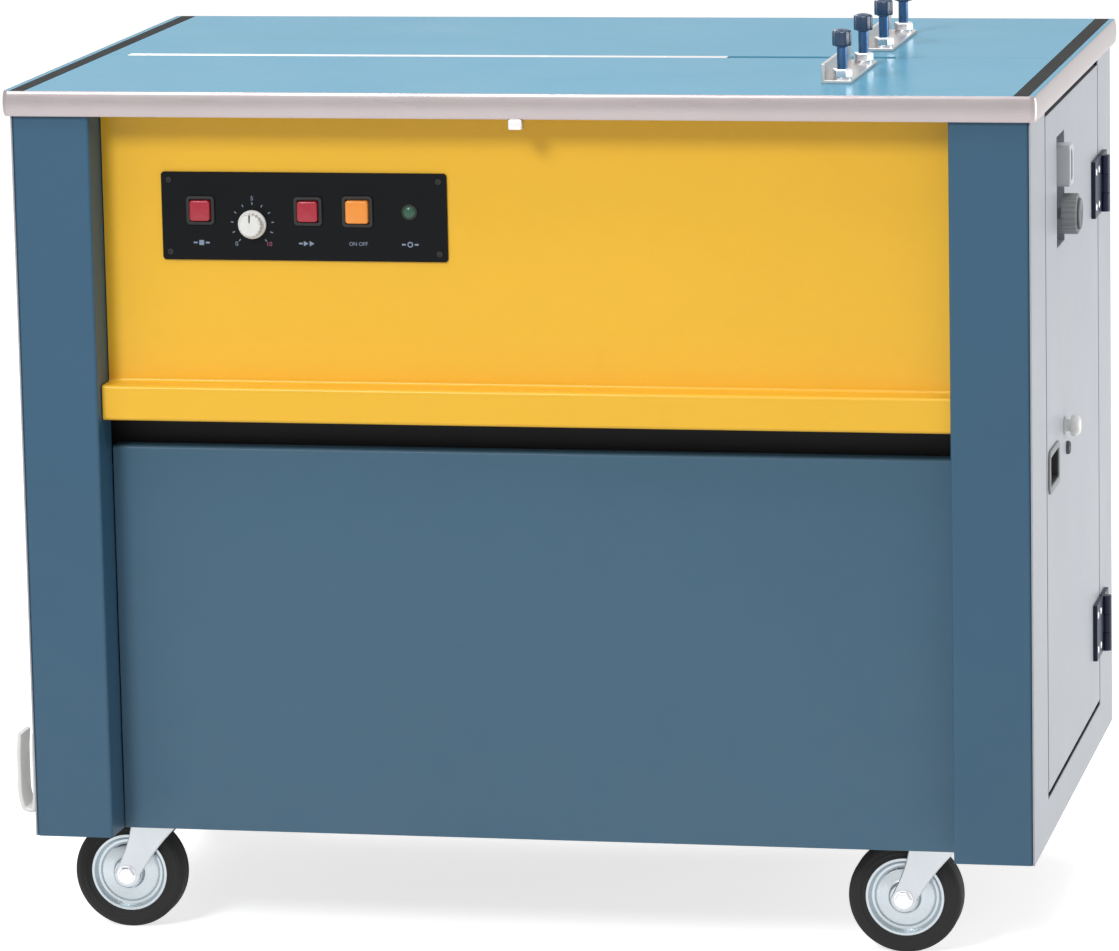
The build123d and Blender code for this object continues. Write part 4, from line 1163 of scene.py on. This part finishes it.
@dataclass
class TensionControl(SubAssembly):
    """The tension knob and its scale, seen in the door's cut-out."""

    flutes: int = 24

    def build(self) -> None:
        """Dress the plate and make the knob, the scale's housing and its marks."""
        self.dress("tension_plate", GREY, 0.4)
        self.knob()
        self.scale()

    def knob(self) -> None:
        """Make the knob: a shaft, a fluted grip and a dished cap with a pointer."""
        low, high = span("tension_knob")
        _, y, z = middle("tension_knob")
        radius = (high[2] - low[2]) / 2
        base = high[0] - 16.0
        shaft = turned([(5.0, low[0] - base), (5.0, 0.6)], 28)
        grip = prism(lobed(radius, 1.2, self.flutes, 192, 0.7), rounded_levels(0, 13.6, 1.4, 0.6))
        cap = turned([(radius * 0.78, 12.0), (radius * 0.78, 15.2), (radius * 0.72, 15.9), (radius * 0.5, 15.5), (radius * 0.1, 15.2)], 48)
        knob = joined(shaft, grip).placed(Facing.RIGHT, (base, y, z))
        self.add("tension_knob_grip", knob, GREY_PLASTIC, "grey_plastic", "tension_control", ("tension_knob",))
        self.add("tension_knob_cap", cap.placed(Facing.RIGHT, (base, y, z)), DARK_GREY, "grey_plastic", "tension_control")
        pointer = block(1.6, radius * 0.5, 15.2, 15.95, 0.5, 0.2).moved((0, radius * 0.42, 0))
        self.add("tension_pointer", pointer.placed(Facing.RIGHT, (base, y, z)), WHITE_INK, "white_plastic", "tension_control")

    def scale(self) -> None:
        """Make the scale: a rounded housing, a dark window, its marks and a red finger."""
        low, high = span("tension_scale")
        _, y, z = middle("tension_scale")
        width, height, depth = high[1] - low[1], high[2] - low[2], high[0] - low[0]
        window = rounded_rectangle(10.0, height - 8.0, 4.6, 8)
        outline = rounded_rectangle(width, height, 3.0, 8)
        levels = [(outline, 0.0), (outline, depth - 1.2), (outline * 0.97, depth - 0.4), (outline * 0.94, depth), (window * 1.05, depth), (window, depth - 0.5), (window, depth - 2.6)]
        rings = np.array([np.column_stack((shape, np.full(len(shape), lift))) for shape, lift in levels])
        self.add("tension_scale_housing", skin(rings).placed(Facing.RIGHT, (low[0], y, z)), PALE_PLASTIC, "grey_plastic", replaces=("tension_scale",))
        floor = prism(window, [(0.1, depth - 2.7), (0.1, depth - 2.3)])
        self.add("tension_scale_floor", floor.placed(Facing.RIGHT, (low[0], y, z)), DARK_GREY, "black_plastic")
        mark = block(4.0, 0.7, depth - 2.4, depth - 2.2, 0.2, 0.02).moved((-1.8, 0, 0))
        marks = mark.repeated([(0, offset, 0) for offset in np.linspace(-10, 10, 9)])
        self.add("tension_scale_marks", marks.placed(Facing.RIGHT, (low[0], y, z)), WHITE_INK, "white_plastic")
        finger = prism(np.array([(4.2, -1.6), (4.2, 1.6), (0.4, 0.0)]), [(0, depth - 2.4), (0, depth - 1.8)]).moved((0, 2.0, 0))
        self.add("tension_scale_finger", finger.placed(Facing.RIGHT, (low[0], y, z)), RED_CAP, "red_plastic")


@dataclass
class CartonStops(SubAssembly):
    """Two stop angles on the table, each held by two clamp knobs on studs."""

    head_lobes: int = 6
    foot_across: float = 15.0

    def build(self) -> None:
        """Dress the angles and make the clamp knobs."""
        self.dress("stop_bracket_front", BRIGHT_ACROSS, 0.5)
        self.dress("stop_bracket_rear", BRIGHT_ACROSS, 0.5)
        low, high = span("stop_knobs")
        x = (low[0] + high[0]) / 2
        edge = (high[0] - low[0]) / 2
        slot_y = (low[1] + high[1]) / 2
        far = (high[1] - low[1]) / 2 - edge
        near = far / 3
        spots = [(x, slot_y + offset, low[2]) for offset in (-far, -near, near, far)]
        height = high[2] - low[2]
        foot = joined(
            turned([(8.0, 0), (8.0, 1.4), (7.4, 1.8), (4.0, 1.8)], 40),
            nut(self.foot_across, 7.0).moved((0, 0, 1.8)),
        )
        self.add("stop_feet", foot.repeated(spots), CHROME, "bright_steel", replaces=("stop_knobs",))
        stud = turned([(4.4, 8.0), (4.4, height - 16.0), (5.6, height - 15.0), (5.6, height - 13.0)], 32)
        self.add("stop_studs", stud.repeated(spots), STUD_BLUE, "navy_plastic")
        grip = lobed(edge * 0.93, 1.1, self.head_lobes, 96)
        head = prism(grip, rounded_levels(height - 15.0, height - 1.0, 2.4, 1.4), crown=1.0)
        self.add("stop_heads", head.repeated(spots), NAVY, "navy_plastic")


@dataclass
class SmallFittings(SubAssembly):
    """The catch under the front rim and the cable hook at the left foot."""

    hook_wall: float = 4.0

    def build(self) -> None:
        """Make both fittings."""
        self.catch()
        self.hook()

    def catch(self) -> None:
        """Make the catch: a small rounded tab with a hooked lower edge."""
        low, high = span("front_catch")
        x, y, _ = middle("front_catch")
        width, depth, height = high - low
        body = block(width, height, 0, depth - 0.5, 1.6, 0.8)
        lip = block(width - 2.0, 2.2, depth - 1.0, depth, 0.8, 0.5).moved((0, -height / 2 + 1.4, 0))
        tab = joined(body, lip).placed(Facing.FRONT, (x, high[1], (low[2] + high[2]) / 2))
        self.add("catch_tab", tab, BRIGHT, "bright_steel", replaces=("front_catch",))

    def hook(self) -> None:
        """Make the hook: a rounded bar carried down, out and back up along one smooth path."""
        low, high = span("cable_hook")
        _, y, _ = middle("cable_hook")
        depth = high[1] - low[1]
        root, reach = high[0], low[0]
        wall = self.hook_wall
        out = reach + wall / 2
        corners = np.array([
            (root - wall / 2 + 1.0, high[2] - 4), (root - wall / 2, high[2] - 20), (root - wall / 2, low[2] + 20),
            (root - 4, low[2] + wall / 2 + 1), (out + 3, low[2] + wall / 2 + 3), (out, low[2] + 18),
            (out, high[2] - 22), (out + 1.5, high[2] - wall),
        ])
        steps = np.linspace(0, len(corners) - 1, 60)
        knots = np.arange(len(corners))
        smooth = np.column_stack([np.interp(steps, knots, corners[:, axis]) for axis in (0, 1)])
        kernel = np.array([1, 2, 3, 2, 1]) / 9
        padded = np.pad(smooth, ((2, 2), (0, 0)), mode="edge")
        smooth = np.column_stack([np.convolve(padded[:, axis], kernel, mode="valid") for axis in (0, 1)])
        path = np.column_stack((smooth[:, 0], np.full(len(smooth), y), smooth[:, 1]))
        section = rounded_rectangle(depth, wall, 1.6, 4)
        bar = swept(path, section[:, ::-1][::-1], (0, 1, 0))
        self.add("cable_hook_bar", bar, WHITE_PLASTIC, "white_plastic", replaces=("cable_hook",), smooth=50)


@dataclass
class Caster(SubAssembly):
    """One swivel caster: ball race, fork, axle, wheel centre and tyre; its top plate is made in CasterPlates."""

    corner: str = "front_left"
    plate_hole_x: float = 37.0
    plate_hole_y: float = 33.0
    bolt_across: float = 11.0
    sheet: float = 3.0
    ear_radius: float = 12.0

    def build(self) -> None:
        """Measure the CAD nodes and make the caster's pieces."""
        low, high = span("wheel_tyre_" + self.corner)
        self.axle = (low + high) / 2
        self.wheel_radius = (high[2] - low[2]) / 2
        self.wheel_half = (high[1] - low[1]) / 2
        fork_low, fork_high = span("caster_fork_" + self.corner)
        plates_low, plates_high = span("caster_plates")
        self.plate_under = plates_low[2]
        self.plate_top = plates_high[2]
        self.pin = (self.axle[0] + 32.0, self.axle[1])
        self.fork_top = fork_high[2]
        self.tyre()
        self.wheel_centre()
        self.fork()
        self.axle_bolt()

    def tyre(self) -> None:
        """Make the tyre: a round-shouldered tread with two grooves, and rings on its sidewalls."""
        radius, half = self.wheel_radius, self.wheel_half
        inner = 35.0
        share = np.linspace(-1, 1, 49)
        shoulder = (np.maximum(np.abs(share) - 0.55, 0) / 0.45) ** 2.4
        grooves = 0.9 * (np.exp(-(((share - 0.3) / 0.055) ** 2)) + np.exp(-(((share + 0.3) / 0.055) ** 2)))
        tread = np.column_stack((radius - 5.5 * shoulder - grooves, share * half * (1 - 0.03 * shoulder)))
        down = np.linspace(0, 1, 14)[1:]
        ridge = 0.7 * np.exp(-(((down - 0.45) / 0.10) ** 2)) - 0.5 * np.exp(-(((down - 0.72) / 0.06) ** 2))
        wall = np.column_stack((radius - 5.5 - (radius - 5.5 - inner) * down, half * (0.97 - 0.10 * down) + ridge))
        other = np.column_stack((wall[::-1, 0], -wall[::-1, 1]))
        body = turned(np.vstack((tread, wall, other)), 120, closed=True)
        place = body.placed(Facing.FRONT, tuple(self.axle))
        wheel = "wheel_" + self.corner
        self.add("tyre_" + self.corner, place, RUBBER, "tyre_rubber", wheel, ("wheel_tyre_" + self.corner,), 50)

    def wheel_centre(self) -> None:
        """Make the pressed wheel centre: rim band, dished disc with a ring groove, and bearing cap."""
        half = self.wheel_half
        face = [
            (35.2, half - 4.2), (34.6, half - 2.6), (32.4, half - 2.4), (31.4, half - 4.6), (29.6, half - 6.4),
            (27.4, half - 6.8), (25.8, half - 5.2), (24.4, half - 4.4), (17.0, half - 3.8), (14.6, half - 2.8),
            (13.4, half + 0.4), (12.6, half + 1.4), (7.4, half + 1.8), (6.2, half + 1.8),
        ]
        face = np.array(face)
        back = np.column_stack((face[::-1, 0], -face[::-1, 1]))
        centre = turned(np.vstack((face, back)), 72, closed=True).placed(Facing.FRONT, tuple(self.axle))
        wheel = "wheel_" + self.corner
        self.add("wheel_centre_" + self.corner, centre, STAMPED, "wheel_metal", wheel, ("wheel_hub_" + self.corner,), 28)

    def fork(self) -> None:
        """Make the pressed fork: two tapered legs, the crown between them and the ball race above."""
        x, y = self.pin
        leg_in = self.wheel_half + 3.0
        leg_out = leg_in + self.sheet
        crown = 2 * self.wheel_radius + 5.5
        ear = np.linspace(TURN * 0.5, TURN * 1.0, 15)
        ear = np.column_stack((self.ear_radius * np.cos(ear), self.ear_radius * np.sin(ear)))
        drop = crown - self.wheel_radius
        run = 32.0
        waist = np.linspace(0, 1, 9)[1:-1]
        bow = 3.2 * np.sin(TURN / 2 * waist)
        right = np.column_stack((12 + (run + 25 - 12) * waist - bow, drop * waist))
        left = np.column_stack((run - 25 + (-12 - run + 25) * waist + bow, drop * (1 - waist)))
        outline = np.vstack((ear, right, [(run + 25, drop - 1), (run + 25, drop + 3), (run - 25, drop + 3), (run - 25, drop - 1)], left))
        leg = prism(outline, [(0.4, leg_in), (0, leg_in + 0.4), (0, leg_out - 0.8), (0.8, leg_out)])
        twin = prism(outline, [(0.8, -leg_out), (0, 0.8 - leg_out), (0, -leg_in - 0.4), (0.4, -leg_in)])
        legs = joined(leg, twin).placed(Facing.FRONT, tuple(self.axle))
        top = block(50.0, 2 * leg_out, crown, crown + self.sheet, 3.0, 0.8).moved((x, y, 0))
        race = turned(
            [(26.6, crown + 2.6), (27.0, crown + 4.0), (26.4, crown + 9.6), (24.6, crown + 11.2), (25.4, crown + 12.6),
             (25.4, crown + 15.4), (23.6, crown + 17.2), (22.2, crown + 20.6), (14.0, crown + 20.9)], 60,
        ).moved((x, y, 0))
        pin = turned([(6.0, crown + 18.0), (6.0, self.fork_top)], 24).moved((x, y, 0))
        rivet = turned([(9.0, crown - 0.2), (9.0, crown - 1.2), (7.5, crown - 2.6), (3.0, crown - 3.2)], 32).moved((x, y, 0))
        whole = joined(legs, top, race, pin, rivet)
        self.add("fork_" + self.corner, whole, ZINC, "zinc_steel", "caster_" + self.corner, ("caster_fork_" + self.corner,), 30)

    def axle_bolt(self) -> None:
        """Make the axle: a shank with a hexagon head and washer at one side and a nut at the other."""
        out = self.wheel_half + 3.0 + self.sheet
        shank = turned([(5.0, -out - 0.2), (5.0, out + 0.2)], 28)
        washer = turned([(8.4, 0), (8.4, 0.8), (5.0, 0.8)], 36)
        head = joined(washer, nut(13.0, 3.0).moved((0, 0, 0.8)))
        front = head.moved((0, 0, out))
        behind = Patch(head.points * (1, -1, -1), head.quads, head.ends).moved((0, 0, -out))
        bolt = joined(shank, front, behind).placed(Facing.FRONT, tuple(self.axle))
        self.add("axle_" + self.corner, bolt, CHROME, "zinc_steel", "caster_" + self.corner)


@dataclass
class CasterPlates(SubAssembly):
    """The four caster top plates under the pan, each with four bolts."""

    hole_x: float = 37.0
    hole_y: float = 33.0

    def build(self) -> None:
        """Dress the plates and make their bolts, seen from below and from the sides."""
        self.dress("caster_plates", ZINC, 0.5)
        low, _ = span("caster_plates")
        spots = []
        for corner in ("front_left", "front_right", "rear_left", "rear_right"):
            axle = middle("wheel_tyre_" + corner)
            x, y = axle[0] + 32.0, axle[1]
            spots += [(x + sx * self.hole_x, y + sy * self.hole_y, low[2]) for sx in (-1, 1) for sy in (-1, 1)]
        head = joined(turned([(7.4, 0), (7.4, 1.0), (4.0, 1.0)], 32), nut(10.0, 4.6, 3.0).moved((0, 0, 1.0)))
        self.add("caster_bolts", head.placed(Facing.DOWN).repeated(spots), ZINC, "zinc_steel")


@dataclass
class Interior(SubAssembly):
    """What the open door shows: the strapping head's housing and the strap reel."""

    strap_width: float = 12.0

    def build(self) -> None:
        """Dress the housing and the bracket, and make the reel and the head's cover."""
        self.dress("head_housing", DARK_GREY_ENAMEL, 2.0)
        self.dress("reel_bracket", BLACK_ENAMEL, 0.6)
        self.reel()
        self.head_cover()

    def reel(self) -> None:
        """Make the reel: two pierced flanges and the wound strap, a ripple of layers across it."""
        low, high = span("strap_reel")
        _, y, z = middle("strap_reel")
        radius = (high[2] - low[2]) / 2
        width = high[0] - low[0]
        flange_face = [(12.2, 0), (radius - 1.5, 0), (radius, 1.5), (radius - 1.5, 3.0), (40.0, 3.0), (38.0, 6.0), (12.2, 6.0)]
        flange = turned(flange_face, 96, closed=True)
        back = Patch(flange.points * (1, 1, -1), flange.quads[:, ::-1], flange.ends).moved((0, 0, width))
        pair = joined(flange, back).placed(Facing.RIGHT, (low[0], y, z))
        self.add("reel_flanges", pair, DARK_GREY, "strap_yellow", replaces=("strap_reel",))
        wound = radius - 15.0
        across = np.linspace(3.1, width - 3.1, 121)
        layer = wound - 0.9 * (0.5 + 0.5 * np.cos(TURN * across / self.strap_width)) ** 6
        layer = layer - 1.2 * (0.5 - 0.5 * np.cos(TURN * across / (width * 0.9)))
        profile = np.vstack(((13.0, 3.1), np.column_stack((layer, across)), (13.0, width - 3.1)))
        strap = turned(profile, 96).placed(Facing.RIGHT, (low[0], y, z))
        self.add("reel_strap", strap, STRAP, "strap_yellow", smooth=40)

    def head_cover(self) -> None:
        """Make the plate and the screws on the housing's end, which faces the door."""
        low, high = span("head_housing")
        _, y, z = middle("head_housing")
        width, height = high[1] - low[1] - 16, high[2] - low[2] - 16
        plate = block(width, height, 0, 2.0, 5.0, 0.6).placed(Facing.RIGHT, (high[0], y, z))
        self.add("head_cover_plate", plate, ZINC, "zinc_steel")
        spots = [(high[0] + 2.0, y + sy * (width / 2 - 9), z + sz * (height / 2 - 9)) for sy in (-1, 1) for sz in (-1, 1)]
        self.add("head_cover_screws", screw(4.0, 2.6, Recess.SOCKET).placed(Facing.RIGHT).repeated(spots), CHROME, "zinc_steel")


@dataclass
class Studio:
    """White floor and surroundings, soft lamps, and the camera at the photograph's place."""

    floor_size: float = 30.0
    surround: float = 0.36
    floor_glow: float = 0.72
    lens: float = 199.85
    sensor: float = 36.0
    yaw: float = 11.890
    pitch: float = 10.568
    roll: float = -1.163
    place: Point = (1.1161, -5.4161, 1.4133)

    def build(self) -> None:
        """Set the view transform and make everything round the machine."""
        bpy.context.scene.view_settings.view_transform = "Standard"
        self.world()
        self.floor()
        self.lamp("key_lamp", (-1.4, -4.0, 3.2), 1.2, 105.0)
        self.lamp("top_lamp", (0.4, -1.0, 3.8), 1.6, 40.0)
        self.lamp("right_lamp", (3.2, 1.1, 0.7), 1.4, 46.0)
        self.lamp("rear_lamp", (-2.0, 3.2, 3.0), 1.4, 45.0)
        self.camera()

    def world(self) -> None:
        """Light from all round, which the camera, gloss and glass see as plain white."""
        world = bpy.data.worlds.new("studio_world")
        world.use_nodes = True
        tree = Tree(world.node_tree)
        background = world.node_tree.nodes["Background"]
        path = tree.add("LightPath")
        seen = tree.math("MAXIMUM", path.outputs["Is Camera Ray"], path.outputs["Is Glossy Ray"])
        seen = tree.math("MAXIMUM", seen, path.outputs["Is Transmission Ray"])
        strength = tree.math("MULTIPLY_ADD", seen, 1.0 - self.surround, self.surround)
        world.node_tree.links.new(strength, background.inputs["Strength"])
        background.inputs["Color"].default_value = (1.0, 1.0, 1.0, 1.0)
        bpy.context.scene.world = world

    def floor(self) -> None:
        """Make the floor: matt white that glows for the camera, so only the shadow shows on it."""
        half = self.floor_size / 2
        mesh = bpy.data.meshes.new("studio_floor")
        corners = [(-half, -half, 0), (half, -half, 0), (half, half, 0), (-half, half, 0)]
        mesh.from_pydata(corners, [], [(0, 1, 2, 3)])
        material = bpy.data.materials.new("floor_white")
        material.use_nodes = True
        tree = Tree(material.node_tree)
        shader = material.node_tree.nodes["Principled BSDF"]
        path = tree.add("LightPath")
        seen = tree.math("MAXIMUM", path.outputs["Is Camera Ray"], path.outputs["Is Glossy Ray"])
        seen = tree.math("MAXIMUM", seen, path.outputs["Is Transmission Ray"])
        grain = tree.add("TexNoise", {"Vector": tree.add("TexCoord").outputs["Object"], "Scale": 3.0, "Detail": 2.0})
        tone = tree.add("MapRange", {"Value": grain.outputs["Fac"], "To Min": 0.80, "To Max": 0.82})
        tree.tree.links.new(tone.outputs[0], shader.inputs["Base Color"])
        shader.inputs["Roughness"].default_value = 0.9
        shader.inputs["Specular IOR Level"].default_value = 0.0
        shader.inputs["Emission Color"].default_value = (1.0, 1.0, 1.0, 1.0)
        tree.tree.links.new(tree.math("MULTIPLY", seen, self.floor_glow), shader.inputs["Emission Strength"])
        mesh.materials.append(material)
        floor = bpy.data.objects.new("studio_floor", mesh)
        bpy.context.scene.collection.objects.link(floor)

    def lamp(self, name: str, place: Point, size: float, power: float) -> None:
        """Hang one soft square lamp that faces the machine.

        Args:
            name: the lamp's name.
            place: its place, in metres.
            size: its side, in metres.
            power: its power, in watts.
        """
        light = bpy.data.lights.new(name, "AREA")
        light.size = size
        light.energy = power
        lamp = bpy.data.objects.new(name, light)
        bpy.context.scene.collection.objects.link(lamp)
        lamp.location = place
        aim = Vector((0.0, 0.0, 0.42)) - Vector(place)
        lamp.rotation_euler = aim.to_track_quat("-Z", "Y").to_euler()

    def camera(self) -> None:
        """Set the camera by the yaw, pitch and roll fitted to the photograph's table, posts and wheels."""
        yaw, pitch, roll = (math.radians(angle) for angle in (self.yaw, self.pitch, self.roll))
        ahead = Vector((-math.sin(yaw) * math.cos(pitch), math.cos(yaw) * math.cos(pitch), -math.sin(pitch)))
        level = Vector((math.cos(yaw), math.sin(yaw), 0.0))
        above = level.cross(ahead)
        right = math.cos(roll) * level + math.sin(roll) * above
        up = math.cos(roll) * above - math.sin(roll) * level
        data = bpy.data.cameras.new("photo_camera")
        data.sensor_width = self.sensor
        data.lens = self.lens
        data.clip_end = 60.0
        camera = bpy.data.objects.new("photo_camera", data)
        bpy.context.scene.collection.objects.link(camera)
        camera.matrix_world = Matrix.Translation(self.place) @ Matrix((right, up, -ahead)).transposed().to_4x4()
        bpy.context.scene.camera = camera


def main() -> None:
    """Build the machine's sub-assemblies in order, then the studio."""
    logging.basicConfig(level=logging.INFO, format="%(message)s")
    assemblies: list[SubAssembly] = [
        TableTop(), Cabinet(), ControlPanel(), SideDoor(), TensionControl(), CartonStops(), SmallFittings(),
        CasterPlates(),
    ]
    assemblies += [Caster(corner=corner) for corner in ("front_left", "front_right", "rear_left", "rear_right")]
    assemblies.append(Interior())
    for assembly in assemblies:
        log.info("building %s", type(assembly).__name__)
        assembly.build()
    Studio().build()


if __name__ == "__main__":
    main()
